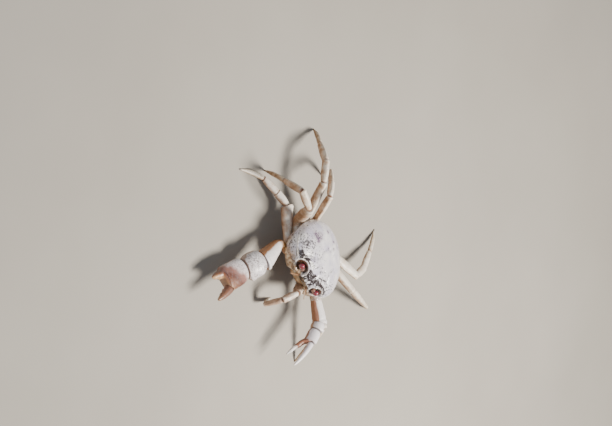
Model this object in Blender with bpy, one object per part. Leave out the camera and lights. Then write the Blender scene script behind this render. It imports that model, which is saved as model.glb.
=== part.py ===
"""A land crab, life size, standing with its front raised and its claws held out before it.

The body is laid out in its own level frame: +X is the crab's left, -Y its front and +Z its back shell.
One empty, crab_pose, then pitches and rolls that frame and lifts it, so that the eight walking legs
stand on the plane z = 0. Every length below is in millimetres and every angle in degrees.
"""

from math import atan2, cos, exp, pi, radians, sin, sqrt, tan

import bmesh
import bpy
from mathutils import Matrix, Vector

MM = 0.001

# Stance of the body over the floor
PITCH = -14.3
ROLL = 5.7
BODY_HEIGHT = 36.0

# Shell: an inflated oval, widest ahead of its middle
SHELL_HALF_WIDTH = 40.0
SHELL_HALF_LENGTH = 32.0
SHELL_FORWARD_SHIFT = 6.0
SHELL_DOME = 14.5
SHELL_BELLY = 17.0
SHELL_FLOOR = -10.5
SHELL_SIDES = 32
SHELL_RINGS = 16
FRONT_SQUARENESS = 1.3

# Underbody: breast plate with the ten hip stubs
CHEST_HALF_WIDTH = 16.5
CHEST_HALF_LENGTH = 23.0
CHEST_DEPTH = 10.0
CHEST_MIDDLE = (0.0, 0.5, -10.9)
HIP_RADIUS = 3.8
HIP_OVERHANG = 2.5
# Where a hip stub starts inside the breast plate: shares of the hip's x and y, and the depth
HIP_ROOT = (0.45, 0.7, -15.0)

# Eyes and their sockets
SOCKET_CENTRE = (16.6, -31.2, 1.0)
SOCKET_RADII = (6.6, 4.4, 4.8)
STALK_FOOT = (12.8, -29.8, -0.2)
STALK_HEAD = (15.6, -29.9, 0.9)
STALK_RADIUS = 2.2
CORNEA_CENTRE = (18.3, -30.1, 1.6)
CORNEA_RADII = (2.5, 2.3, 2.5)

# Mouth plates, feelers and tail flap
MOUTH_HALF_WIDTH = 8.4
MOUTH_TOP = -7.0
MOUTH_BOTTOM = -17.5
MOUTH_FRONT = -26.0
MOUTH_DEPTH = 6.0
MOUTH_LEAN = 24.0
PLATE_THICKNESS = 2.6
PLATE_CLEARANCE = 0.3
FEELER_LENGTH = 11.0
FEELER_RADIUS = 0.55
FEELER_ROOT = (9.6, -32.6, -4.6)
FEELER_WAY = (0.75, -0.5, -0.42)
FEELER_RISE = 1.6
FLAP_THICKNESS = 2.2
FLAP_BASE_HALF_WIDTH = 9.0
FLAP_TIP_HALF_WIDTH = 3.0
FLAP_START = (0.0, 30.0, -13.2)
FLAP_BEND = (0.0, 25.0, -22.9)
FLAP_TIP = (0.0, -4.0, -22.9)
FLAP_SOFTNESS = 3.0

# Root of each walking leg, 1 being the front one: hip place with its x counted outwards, sweep and lift
# of the short hip article, and that article's length
LEG_ROOTS = {
    "right_1": ((18.1, -8.0, -17.5), (4, -6), 10.0),
    "right_2": ((21.7, 4.0, -15.9), (38, 7), 15.5),
    "right_3": ((19.5, 13.0, -18.0), (60, 32), 13.0),
    "right_4": ((15.0, 25.0, -17.0), (85, 58), 11.2),
    "left_1": ((20.0, -9.0, -19.0), (-25, -40), 9.0),
    "left_2": ((19.0, 3.5, -18.5), (40, -30), 13.0),
    "left_3": ((22.0, 13.0, -17.4), (60, 34), 13.0),
    "left_4": ((20.0, 24.0, -13.0), (39, 26), 13.0),
}
# Lengths of merus, carpus, propodus and dactyl
LEG_LENGTHS = {1: (34, 16, 19, 23), 2: (39, 20, 25, 29), 3: (42, 21, 27, 31), 4: (39, 18, 24, 28)}
LEG_BULK = {1: 0.95, 2: 1.0, 3: 1.0, 4: 0.9}
# Half breadth and half thickness of a leg article, evenly spaced from its root to its end
MERUS_SECTION = ((3.0, 2.7), (4.4, 3.5), (5.4, 4.0), (4.3, 3.5))
CARPUS_SECTION = ((3.0, 2.7), (4.2, 3.6), (4.1, 3.4))
PROPODUS_SECTION = ((3.6, 2.9), (3.9, 3.0), (3.0, 2.5))
DACTYL_SECTION = ((2.7, 2.3), (2.4, 2.0), (0.75, 0.7))
DACTYL_BOW = 1.2

# Pose of each leg: sweep back from straight sideways, lift, twist of the bending plane, three bends
LEG_POSE = {
    "right_1": (56, -4, -67, 50, 5, 26),
    "right_2": (-24, 45, 43, 55, 80, 5),
    "right_3": (35, 34, 43, 45, 36, 5),
    "right_4": (4, 42, 76, 95, 18, 36),
    "left_1": (-123, 24, 13, 58, 55, 73),
    "left_2": (-51.3, 19.4, 12.6, 5, 59.3, 5),
    "left_3": (-11, 25, 49, 50, 5, 5),
    "left_4": (7, 18, 80, 63, 16, 8),
}

# Claw legs: hip, lengths of ischium, merus, carpus and palm, and the pose of each of them as
# (sweep out from straight ahead, lift)
CLAW_HIP = {"right": (20.0, -18.0, -14.0), "left": (20.0, -18.0, -12.0)}
CLAW_LENGTHS = {"right": (17.5, 28.3, 20.5, 27.0), "left": (13.9, 26.0, 8.2, 12.8)}
CLAW_POSE = {
    "right": ((93.7, -14.9), (8.7, -11.8), (23.5, -31), (28, -14)),
    "left": ((81.6, 15), (47.3, 8), (2, -8), (3, -10)),
}
# Which way each hand's movable finger lies from its palm, as a direction in the body's frame
CLAW_FINGER_SIDE = {"right": (0.78, -0.52, 0.36), "left": (0.34, 0.31, 0.89)}
# Half sizes: arm at its two ends, wrist, palm breadth and thickness
CLAW_ARM = {"right": (3.7, 9.2), "left": (4.0, 6.5)}
CLAW_WRIST = {"right": (11.6, 9.0), "left": (6.6, 5.6)}
CLAW_PALM = {"right": (12.4, 7.4), "left": (6.5, 4.6)}
# Fingers: length, root's offset across the hand, root's half breadth, lean off the palm, curve at tip
FIXED_FINGER = {"right": (12.5, -4.2, 4.3, -8.0, -1.2), "left": (22.5, -2.9, 2.9, -28.5, -2.4)}
MOVING_FINGER = {"right": (20.0, 9.6, 3.9, 24.0, -2.6), "left": (31.0, 2.2, 2.9, 5.0, -6.4)}

JOINT_GAP = 0.2
RUN_STEP = 0.02
BEND_SOFTNESS = 5.0
CLAW_ROOM = 1.3
FLOOR_BITE = 0.5
LEG_SIDES = 10
CLAW_SIDES = 12

SKIN = {
    "shell": ("bone_white_shell", (0.72, 0.70, 0.72), 0.42),
    "limb": ("cream_limb_shell", (0.70, 0.58, 0.42), 0.48),
    "claw": ("pink_white_claw_shell", (0.74, 0.58, 0.52), 0.42),
    "finger": ("tan_finger_horn", (0.66, 0.47, 0.34), 0.4),
    "under": ("ochre_underside", (0.55, 0.38, 0.22), 0.55),
    "eye": ("wine_red_cornea", (0.20, 0.03, 0.04), 0.12),
}

for old in list(bpy.data.objects):
    bpy.data.objects.remove(old, do_unlink=True)

crab = bpy.data.collections.new("land_crab")
bpy.context.scene.collection.children.link(crab)
cutters = bpy.data.collections.new("cutters")
cutters.hide_render = True
bpy.context.scene.collection.children.link(cutters)

crab_pose = bpy.data.objects.new("crab_pose", None)
crab.objects.link(crab_pose)
turn = Matrix.Rotation(radians(PITCH), 4, "X") @ Matrix.Rotation(radians(ROLL), 4, "Y")
crab_pose.matrix_world = Matrix.Translation((0, 0, BODY_HEIGHT * MM)) @ turn

FLOOR_UP = turn.to_3x3().transposed() @ Vector((0, 0, 1))
FLOOR_POINT = FLOOR_UP * -BODY_HEIGHT


def side_sign(side):
    return 1 if side == "left" else -1


def height(point):
    """Height of a point of the body's frame above the floor."""
    return (point - FLOOR_POINT).dot(FLOOR_UP)


def skin(kind):
    """The material of one kind of surface, made the first time it is asked for."""
    name, colour, roughness = SKIN[kind]
    made = bpy.data.materials.get(name)
    if made is None:
        made = bpy.data.materials.new(name)
        made.use_nodes = True
        shader = made.node_tree.nodes["Principled BSDF"]
        shader.inputs["Base Color"].default_value = (*colour, 1)
        shader.inputs["Roughness"].default_value = roughness
        shader.inputs["Metallic"].default_value = 0.0
    return made


def add_piece(name, bm, kind, origin):
    """Turns a mesh in body millimetres into a named object whose origin is at the given point."""
    origin = Vector(origin)
    bmesh.ops.translate(bm, vec=-origin, verts=bm.verts)
    bmesh.ops.scale(bm, vec=(MM, MM, MM), verts=bm.verts)
    bmesh.ops.recalc_face_normals(bm, faces=bm.faces)
    mesh = bpy.data.meshes.new(name)
    bm.to_mesh(mesh)
    bm.free()
    mesh.shade_smooth()
    mesh.set_sharp_from_angle(angle=radians(40))
    mesh.materials.append(skin(kind))
    piece = bpy.data.objects.new(name, mesh)
    crab.objects.link(piece)
    piece.parent = crab_pose
    piece.location = origin * MM
    return piece


def add_cutter(name, bm):
    """A hidden object in body millimetres that other pieces are cut or joined with."""
    bmesh.ops.scale(bm, vec=(MM, MM, MM), verts=bm.verts)
    bmesh.ops.recalc_face_normals(bm, faces=bm.faces)
    mesh = bpy.data.meshes.new(name)
    bm.to_mesh(mesh)
    bm.free()
    cutter = bpy.data.objects.new(name, mesh)
    cutters.objects.link(cutter)
    cutter.parent = crab_pose
    cutter.hide_render = True
    cutter.display_type = "WIRE"
    return cutter


def combine(piece, cutter, operation):
    boolean = piece.modifiers.new(f"{operation.lower()}_{cutter.name}", "BOOLEAN")
    boolean.operation = operation
    boolean.object = cutter
    boolean.solver = "EXACT"


def trim(bm, point, normal):
    """Cuts off what lies past the plane, on the side its normal points to, and closes the cut."""
    geometry = bm.verts[:] + bm.edges[:] + bm.faces[:]
    cut = bmesh.ops.bisect_plane(
        bm, geom=geometry, dist=1e-5, plane_co=point, plane_no=normal, clear_outer=True
    )
    rim = [item for item in cut["geom_cut"] if isinstance(item, bmesh.types.BMEdge)]
    if rim:
        bmesh.ops.edgeloop_fill(bm, edges=rim)


def ball(centre, radii, sides=14, rings=9):
    bm = bmesh.new()
    bmesh.ops.create_uvsphere(bm, u_segments=sides, v_segments=rings, radius=1)
    bmesh.ops.scale(bm, vec=radii, verts=bm.verts)
    bmesh.ops.translate(bm, vec=centre, verts=bm.verts)
    return bm


def blend_sections(sections, t):
    """Half breadth and half thickness at t, through evenly spaced sections."""
    place = t * (len(sections) - 1)
    low = min(int(place), len(sections) - 2)
    part = place - low
    part = part * part * (3 - 2 * part)
    return [a + (b - a) * part for a, b in zip(sections[low], sections[low + 1])]


def limb_form(centre, breadth_way, section, sides, rings, swell=None, ring_way=None):
    """A closed tube with half sizes from section(t): a cylinder whose rings stand square to the path
    centre(t), or all of them square to ring_way where that is given."""
    bm = bmesh.new()
    bmesh.ops.create_cone(bm, cap_ends=True, segments=sides, radius1=1, radius2=1, depth=1)
    long_edges = [e for e in bm.edges if abs(e.verts[0].co.z - e.verts[1].co.z) > 0.5]
    bmesh.ops.subdivide_edges(bm, edges=long_edges, cuts=rings - 1)
    for vert in bm.verts:
        t = vert.co.z + 0.5
        across, along = vert.co.x, vert.co.y
        breadth, thickness = section(t)
        push = swell(t, atan2(along, across)) if swell else 1.0
        run = ring_way or (centre(min(1.0, t + RUN_STEP)) - centre(max(0.0, t - RUN_STEP))).normalized()
        broad = (breadth_way - run * run.dot(breadth_way)).normalized()
        offset = broad * (across * breadth * push) + run.cross(broad) * (along * thickness * push)
        vert.co = centre(t) + offset
    return bm


def end_rounding(t, share, least):
    """Shrinks a limb's girth towards both of its ends."""
    near = min(t, 1 - t) / share
    return 1.0 if near >= 1 else least + (1 - least) * sqrt(max(0.0, 1 - (1 - near) ** 2))


def aim(side, sweep, lift):
    """Direction of a leg: sweep is turned back from straight sideways."""
    sweep, lift = radians(sweep), radians(lift)
    return Vector((side_sign(side) * cos(sweep) * cos(lift), sin(sweep) * cos(lift), sin(lift)))


def claw_aim(side, sweep, lift):
    """Direction of a claw article: sweep is turned outwards from straight ahead."""
    sweep, lift = radians(sweep), radians(lift)
    return Vector((side_sign(side) * sin(sweep) * cos(lift), -cos(sweep) * cos(lift), sin(lift)))


def mitre(way_in, way_out):
    return (way_in + way_out).normalized()


# ---------------------------------------------------------------- shell


def shell_point(direction):
    """The point of the whole body's surface that a unit sphere's point is moved to."""
    nz = direction.z
    flat = sqrt(max(0.0, 1 - nz * nz))
    if flat < 1e-6:
        return Vector((0, 0, SHELL_DOME if nz > 0 else -SHELL_BELLY))
    ux, uy = direction.x / flat, direction.y / flat
    frontness = max(0.0, -uy) ** 2
    power = 2.0 + (FRONT_SQUARENESS * frontness if nz < 0 else 0.25)
    rho = max(0.0, 1 - abs(nz) ** power) ** (1 / power)
    x = SHELL_HALF_WIDTH * rho * ux
    y = SHELL_HALF_LENGTH * rho * uy - SHELL_FORWARD_SHIFT * rho * rho * ux * ux
    z = (SHELL_DOME if nz > 0 else SHELL_BELLY) * nz
    return Vector((x, y, z))


def make_shell():
    bm = bmesh.new()
    bmesh.ops.create_uvsphere(bm, u_segments=SHELL_SIDES, v_segments=SHELL_RINGS, radius=1)
    for vert in bm.verts:
        vert.co = shell_point(vert.co.normalized())
    trim(bm, Vector((0, 0, SHELL_FLOOR)), Vector((0, 0, -1)))
    shell = add_piece("carapace", bm, "shell", (0, 0, 0))
    for side in ("left", "right"):
        middle = Vector(SOCKET_CENTRE)
        middle.x *= side_sign(side)
        socket = add_cutter(f"eye_socket_{side}", ball(middle, SOCKET_RADII, 14, 8))
        combine(shell, socket, "DIFFERENCE")
    mouth = bmesh.new()
    bmesh.ops.create_cube(mouth, size=1)
    opening = (2 * MOUTH_HALF_WIDTH, 2 * MOUTH_DEPTH, MOUTH_TOP - MOUTH_BOTTOM)
    bmesh.ops.scale(mouth, vec=opening, verts=mouth.verts)
    bmesh.ops.translate(
        mouth, vec=(0, MOUTH_FRONT, (MOUTH_TOP + MOUTH_BOTTOM) / 2), verts=mouth.verts
    )
    mouth_box = add_cutter("mouth_opening", mouth)
    combine(shell, mouth_box, "DIFFERENCE")
    for side in ("left", "right"):
        points, ways = claw_course(side)
        radius = CLAW_ARM[side][0] + CLAW_ROOM
        up = Vector((0, 0, 1))
        room = limb_form(
            bent_line(points[0] - ways[0] * 6, points[1], points[1] + ways[1] * 12, 4.0),
            up,
            lambda t, r=radius: (r, r),
            10,
            5,
        )
        combine(shell, add_cutter(f"claw_room_{side}", room), "DIFFERENCE")
    return mouth_box


# ---------------------------------------------------------------- underbody


def leg_hip(side, number):
    point = Vector(LEG_ROOTS[f"{side}_{number}"][0])
    point.x *= side_sign(side)
    return point


def leg_hip_aim(side, number):
    return aim(side, *LEG_ROOTS[f"{side}_{number}"][1])


def make_underbody(mouth_box):
    bm = bmesh.new()
    bmesh.ops.create_uvsphere(bm, u_segments=20, v_segments=10, radius=1)
    for vert in bm.verts:
        rho = sqrt(max(0.0, 1 - vert.co.z ** 2))
        wide = rho ** 0.55 / rho if rho > 1e-6 else 0.0
        vert.co.x *= CHEST_HALF_WIDTH * wide
        vert.co.y *= CHEST_HALF_LENGTH * wide
        vert.co.z *= CHEST_DEPTH
    bmesh.ops.translate(bm, vec=CHEST_MIDDLE, verts=bm.verts)
    trim(bm, Vector((0, 0, CHEST_MIDDLE[2])), Vector((0, 0, 1)))
    chest = add_piece("underbody", bm, "under", CHEST_MIDDLE)
    for side in ("left", "right"):
        hips = [(f"leg_{n}", leg_hip(side, n), leg_hip_aim(side, n)) for n in LEG_LENGTHS]
        points, ways = claw_course(side)
        hips.append(("claw", points[0], ways[0]))
        for word, point, way in hips:
            root = Vector((point.x * HIP_ROOT[0], point.y * HIP_ROOT[1], HIP_ROOT[2]))
            end = point + (point - root).normalized() * HIP_OVERHANG
            stub = limb_form(
                lambda t, a=root, b=end: a.lerp(b, t),
                Vector((0, 0, 1)),
                lambda t: (HIP_RADIUS * (1 - 0.1 * t), HIP_RADIUS * (1 - 0.1 * t)),
                8,
                2,
            )
            trim(stub, point - way * JOINT_GAP, way)
            trim(stub, Vector((0, 0, CHEST_MIDDLE[2])), Vector((0, 0, 1)))
            combine(chest, add_cutter(f"hip_{side}_{word}", stub), "UNION")
    combine(chest, mouth_box, "DIFFERENCE")


# ---------------------------------------------------------------- face


def make_face():
    for side in ("left", "right"):
        sign = side_sign(side)
        foot, head = Vector(STALK_FOOT), Vector(STALK_HEAD)
        cornea = Vector(CORNEA_CENTRE)
        for point in (foot, head, cornea):
            point.x *= sign
        way = (cornea - foot).normalized()
        up = way.cross(Vector((0, 1, 0))).normalized()
        stalk = limb_form(
            lambda t, a=foot, b=head: a.lerp(b, t),
            up,
            lambda t: [STALK_RADIUS * (0.8 + 0.2 * t) * end_rounding(t, 0.3, 0.6)] * 2,
            10,
            5,
        )
        add_piece(f"eyestalk_{side}", stalk, "shell", foot)
        eye = ball(cornea, CORNEA_RADII, 12, 8)
        trim(eye, head + way * JOINT_GAP * 2, -way)
        add_piece(f"eye_{side}", eye, "eye", cornea)

        plate = bmesh.new()
        bmesh.ops.create_cube(plate, size=1)
        tall = MOUTH_TOP - MOUTH_BOTTOM - 2 * (JOINT_GAP + PLATE_CLEARANCE)
        wide = MOUTH_HALF_WIDTH - JOINT_GAP - PLATE_CLEARANCE
        bmesh.ops.scale(plate, vec=(wide, PLATE_THICKNESS, tall), verts=plate.verts)
        bmesh.ops.bevel(
            plate, geom=plate.edges[:], offset=0.7, segments=2, profile=0.5, affect="EDGES", material=-1
        )
        lean = Matrix.Rotation(radians(MOUTH_LEAN), 3, "X")
        bmesh.ops.rotate(plate, cent=(0, 0, 0), matrix=lean, verts=plate.verts)
        middle = Vector((
            sign * (wide / 2 + JOINT_GAP),
            MOUTH_FRONT + 0.4,
            (MOUTH_TOP + MOUTH_BOTTOM) / 2,
        ))
        bmesh.ops.translate(plate, vec=middle, verts=plate.verts)
        add_piece(f"mouth_plate_{side}", plate, "under", middle)

        root = Vector((sign * FEELER_ROOT[0], FEELER_ROOT[1], FEELER_ROOT[2]))
        lean_out = Vector((sign * FEELER_WAY[0], FEELER_WAY[1], FEELER_WAY[2])).normalized()
        up = lean_out.cross(Vector((0, 0, 1))).normalized()
        feeler = limb_form(
            lambda t, a=root, w=lean_out: a + w * (FEELER_LENGTH * t) + Vector((0, 0, FEELER_RISE * t * t)),
            up,
            lambda t: [FEELER_RADIUS * (1.7 - 1.2 * t ** 0.5 if t < 0.4 else 1.0 - 0.3 * t)] * 2,
            8,
            6,
        )
        add_piece(f"antenna_{side}", feeler, "limb", root)


# ---------------------------------------------------------------- tail flap


def make_flap():
    """The folded abdomen: a jointed plate from the shell's hind edge, under the breast plate."""
    start, bend, tip = Vector(FLAP_START), Vector(FLAP_BEND), Vector(FLAP_TIP)
    first = (bend - start).length
    whole = first + (tip - bend).length
    bm = bmesh.new()
    bmesh.ops.create_cube(bm, size=1)
    long_edges = [e for e in bm.edges if abs(e.verts[0].co.y - e.verts[1].co.y) > 0.5]
    bmesh.ops.subdivide_edges(bm, edges=long_edges, cuts=11)
    for vert in bm.verts:
        t = vert.co.y + 0.5
        run = t * whole
        spot = Vector((0, 0, 0))
        for shift in (-1, -0.5, 0, 0.5, 1):
            here = min(max(run + FLAP_SOFTNESS * shift, 0), whole)
            if here < first:
                spot += start.lerp(bend, here / first) / 5
            else:
                spot += bend.lerp(tip, (here - first) / (whole - first)) / 5
        half = FLAP_BASE_HALF_WIDTH + (FLAP_TIP_HALF_WIDTH - FLAP_BASE_HALF_WIDTH) * t ** 0.8
        lean = max(0.0, min(1.0, (first + FLAP_SOFTNESS - run) / (2 * FLAP_SOFTNESS)))
        outward = Vector((0, lean, -1 + 0.5 * lean)).normalized()
        level = FLAP_THICKNESS * (0.5 - vert.co.z)
        vert.co = Vector((2 * half * vert.co.x, 0, 0)) + spot + outward * level
    add_piece("tail_flap", bm, "under", bend)


# ---------------------------------------------------------------- walking legs


def leg_course(side, number):
    """Joint points of a leg, its hip's direction, and each article's direction and upper side."""
    sweep, lift, twist, *bends = LEG_POSE[f"{side}_{number}"]
    hip = leg_hip(side, number)
    hip_way = leg_hip_aim(side, number)
    lengths = LEG_LENGTHS[number]
    points = [hip, hip + hip_way * LEG_ROOTS[f"{side}_{number}"][2]]
    way = aim(side, sweep, lift)
    up = Vector((0, 0, 1))
    upper = (up - way * way.dot(up)).normalized()
    across = way.cross(upper)
    twist = radians(twist)
    upper = upper * cos(twist) + across * (sin(twist) * side_sign(side))
    ways, uppers, bend = [], [], 0.0
    for step, length in enumerate(lengths):
        if step:
            bend += radians(bends[step - 1])
        ways.append(way * cos(bend) - upper * sin(bend))
        uppers.append(way * sin(bend) + upper * cos(bend))
        if step == len(lengths) - 1:
            length = height(points[-1]) / max(0.1, -ways[-1].dot(FLOOR_UP))
        points.append(points[-1] + ways[-1] * length)
    return points, hip_way, ways, uppers


def bent_line(a, b, c, soft):
    """A path from a through b to c with its corner eased over a length on each side."""
    first, second = (b - a).length, (c - b).length
    whole = first + second

    def spot(run):
        run = min(max(run, 0.0), whole)
        return a.lerp(b, run / first) if run < first else b.lerp(c, (run - first) / second)

    def centre(t):
        run = t * whole
        ease = soft * min(1.0, run / soft, (whole - run) / soft)
        return (spot(run - ease) + spot(run) * 2 + spot(run + ease)) / 4

    return centre


def make_leg(side, number):
    points, hip_way, ways, uppers = leg_course(side, number)
    hip, knee_start, knee, wrist, ankle, toe = points
    bulk = LEG_BULK[number]
    label = f"leg_{side}_{number}"

    def sized(sections, share, least):
        def section(t):
            breadth, thickness = blend_sections(sections, t)
            shrink = end_rounding(t, share, least) * bulk
            return breadth * shrink, thickness * shrink

        return section

    def reach(before, after, breadth):
        half_bend = before.angle(after) / 2
        return min(breadth * tan(min(half_bend, radians(50))), breadth * 0.8)

    spare = reach(ways[0], ways[1], MERUS_SECTION[-1][0] * 0.7)
    merus = limb_form(
        bent_line(hip + hip_way * JOINT_GAP, knee_start, knee + ways[0] * spare, BEND_SOFTNESS),
        uppers[0],
        sized(MERUS_SECTION, 0.1, 0.8),
        LEG_SIDES,
        7,
    )
    trim(merus, knee - mitre(ways[0], ways[1]) * JOINT_GAP, mitre(ways[0], ways[1]))
    add_piece(f"{label}_merus", merus, "limb", hip)

    shapes = (
        ("carpus", CARPUS_SECTION, 5, 0.0),
        ("propodus", PROPODUS_SECTION, 5, 0.0),
        ("dactyl", DACTYL_SECTION, 7, DACTYL_BOW),
    )
    for step, (word, sections, rings, bow) in enumerate(shapes, start=1):
        start, end = points[step + 1], points[step + 2]
        way, upper = ways[step], uppers[step]
        back = reach(ways[step - 1], way, sections[0][0] * 0.7)
        if word == "dactyl":
            forth = FLOOR_BITE
        else:
            forth = reach(way, ways[step + 1], sections[-1][0] * 0.7)
        a, b = start - way * back, end + way * forth
        form = limb_form(
            lambda t, a=a, b=b, u=upper, bow=bow: a.lerp(b, t) + u * (bow * sin(pi * t)),
            upper,
            sized(sections, 0.18, 0.8 if word != "dactyl" else 0.86),
            LEG_SIDES if word != "dactyl" else 8,
            rings,
        )
        before = mitre(ways[step - 1], way)
        trim(form, start + before * JOINT_GAP, -before)
        if word == "dactyl":
            trim(form, FLOOR_POINT, -FLOOR_UP)
        else:
            after = mitre(way, ways[step + 1])
            trim(form, end - after * JOINT_GAP, after)
        add_piece(f"{label}_{word}", form, "limb", start)


# ---------------------------------------------------------------- claw legs


def claw_course(side):
    point = Vector(CLAW_HIP[side])
    point.x *= side_sign(side)
    points, ways = [point], []
    for length, (sweep, lift) in zip(CLAW_LENGTHS[side], CLAW_POSE[side]):
        ways.append(claw_aim(side, sweep, lift))
        points.append(points[-1] + ways[-1] * length)
    return points, ways


def tooth_row(t, first, last, count, tall):
    """Height of a row of blunt teeth along a finger's biting edge."""
    if not first < t < last:
        return 0.0
    return tall * max(0.0, sin(pi * count * (t - first) / (last - first))) ** 2


def square_to(way, towards):
    """The part of a direction that is square to a limb's own direction."""
    return (towards - way * way.dot(towards)).normalized()


def make_arm(side, points, ways, finger_side):
    """Ischium and merus of a claw leg: a three-edged arm that widens towards the wrist."""
    hip, elbow_start, elbow = points[:3]
    up = square_to(ways[1], finger_side)
    thin, wide = CLAW_ARM[side]
    bend = (elbow_start - hip).length / (elbow - hip).length * 0.72

    def section(t):
        part = max(0.0, (t - bend) / (1 - bend))
        girth = thin + (wide - thin) * min(1.0, part / 0.8) ** 0.8
        girth *= 1 - 0.12 * max(0.0, part - 0.85) / 0.15
        return girth, thin + (girth - thin) * 0.62

    path = bent_line(hip + ways[0] * JOINT_GAP, elbow_start, elbow + ways[1] * 2.5, BEND_SOFTNESS)
    merus = limb_form(path, up, section, CLAW_SIDES, 10)
    trim(merus, elbow - mitre(ways[1], ways[2]) * JOINT_GAP, mitre(ways[1], ways[2]))
    add_piece(f"claw_{side}_merus", merus, "limb", hip)


def make_wrist(side, points, ways, finger_side):
    """Carpus of a claw leg: a rounded block with one blunt spine on its inner corner."""
    elbow, wrist = points[2:4]
    up = square_to(ways[2], finger_side)
    half, thick = CLAW_WRIST[side]
    start, end = elbow - ways[2] * half * 0.35, wrist + ways[2] * half * 0.3

    def section(t):
        girth = end_rounding(t, 0.5, 0.55)
        return half * girth, thick * girth

    def spine(t, turn_angle):
        return 1.0 + 0.2 * exp(-(((t - 0.74) / 0.13) ** 2) - (turn_angle / 0.4) ** 2)

    carpus = limb_form(lambda t: start.lerp(end, t), up, section, CLAW_SIDES, 8, spine)
    trim(carpus, elbow + mitre(ways[1], ways[2]) * JOINT_GAP, -mitre(ways[1], ways[2]))
    trim(carpus, wrist - mitre(ways[2], ways[3]) * JOINT_GAP, mitre(ways[2], ways[3]))
    add_piece(f"claw_{side}_carpus", carpus, "claw", elbow)


def make_hand(side, points, ways, finger_side):
    """Palm and fixed finger in one piece, and the movable finger in a notch at the palm's far corner."""
    wrist, way = points[3], ways[3]
    across = square_to(way, finger_side)
    half, thick = CLAW_PALM[side]
    palm_length = CLAW_LENGTHS[side][3]
    fixed_length, fixed_root, fixed_half, fixed_lean, fixed_curve = FIXED_FINGER[side]
    length, root, root_half, lean, curve = MOVING_FINGER[side]
    whole = palm_length + fixed_length
    palm_end = palm_length / whole
    middle_shift = half * 0.12
    shoulder = 0.2

    def hand_section(t):
        if t < palm_end:
            part = t / palm_end
            swell = sin(pi / 2 * min(1.0, 0.35 + part / 0.8))
            return half * (0.55 + 0.45 * swell), thick * (0.7 + 0.3 * sin(pi * min(1.0, 0.2 + part * 0.6)))
        part = (t - palm_end) / (1 - palm_end)
        taper = fixed_half * (1 - part) ** 0.7 + 0.5
        drop = max(0.0, 1 - part / shoulder)
        return taper + (half - taper) * drop ** 0.6, max(0.6, thick * 0.78 * (1 - part) ** 0.6)

    def hand_middle(t):
        if t < palm_end:
            return wrist + way * (whole * t) + across * (middle_shift * t / palm_end)
        part = (t - palm_end) / (1 - palm_end)
        slide = min(1.0, part / shoulder)
        offset = middle_shift * (1 - slide) + fixed_root * slide
        offset += tan(radians(fixed_lean)) * fixed_length * part - fixed_curve * part * part
        return wrist + way * (whole * t) + across * offset

    def hand_teeth(t, turn_angle):
        part = (t - palm_end) / (1 - palm_end)
        return 1.0 + tooth_row(part, 0.35, 0.92, 3, 0.25) * max(0.0, cos(turn_angle)) ** 3

    hand = limb_form(hand_middle, across, hand_section, CLAW_SIDES, 16, hand_teeth, way)
    trim(hand, wrist + mitre(ways[2], way) * JOINT_GAP, -mitre(ways[2], way))
    piece = add_piece(f"claw_{side}_hand", hand, "claw", wrist)

    hinge = wrist + way * (palm_length - root_half * 0.5) + across * root
    lean = radians(lean)
    open_way = way * cos(lean) + across * sin(lean)
    open_side = across * cos(lean) - way * sin(lean)

    def finger_section(t):
        girth = 0.16 + 0.84 * (1 - t) ** 0.65
        girth *= end_rounding(t, 0.2, 0.8) if t < 0.5 else 1.0
        return root_half * girth, min(thick * 0.7, root_half) * girth

    def finger_teeth(t, turn_angle):
        return 1.0 + tooth_row(t, 0.32, 0.9, 3, 0.22) * max(0.0, -cos(turn_angle)) ** 3

    finger = limb_form(
        lambda t: hinge + open_way * (length * t) + open_side * (curve * t * t),
        open_side,
        finger_section,
        CLAW_SIDES - 2,
        12,
        finger_teeth,
    )
    trim(finger, hinge + open_way * 0.4, -open_way)
    add_piece(f"claw_{side}_dactyl", finger, "finger", hinge)

    notch = limb_form(
        lambda t: hinge + open_way * (length * 0.6 * t),
        open_side,
        lambda t: (root_half + 0.5, thick * 1.6),
        8,
        2,
    )
    combine(piece, add_cutter(f"knuckle_notch_{side}", notch), "DIFFERENCE")


def make_claw(side):
    points, ways = claw_course(side)
    finger_side = Vector(CLAW_FINGER_SIDE[side])
    make_arm(side, points, ways, finger_side)
    make_wrist(side, points, ways, finger_side)
    make_hand(side, points, ways, finger_side)


def centre_on_floor():
    """Moves the whole crab so that the middle of its outline on the floor is the origin."""
    bpy.context.view_layer.update()
    spots = [o.matrix_world @ v.co for o in crab.objects if o.type == "MESH" for v in o.data.vertices]
    for axis in (0, 1):
        reach = [spot[axis] for spot in spots]
        crab_pose.location[axis] -= (min(reach) + max(reach)) / 2


mouth_opening = make_shell()
make_underbody(mouth_opening)
make_face()
make_flap()
for body_side in ("left", "right"):
    for leg_number in LEG_LENGTHS:
        make_leg(body_side, leg_number)
    make_claw(body_side)
centre_on_floor()
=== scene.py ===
"""A life-size land crab standing with its front raised and its two claws held out before it."""

from math import atan2, cos, exp, pi, radians, sin, sqrt, tan

import bmesh
import bpy
from mathutils import Matrix, Vector, noise


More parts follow.
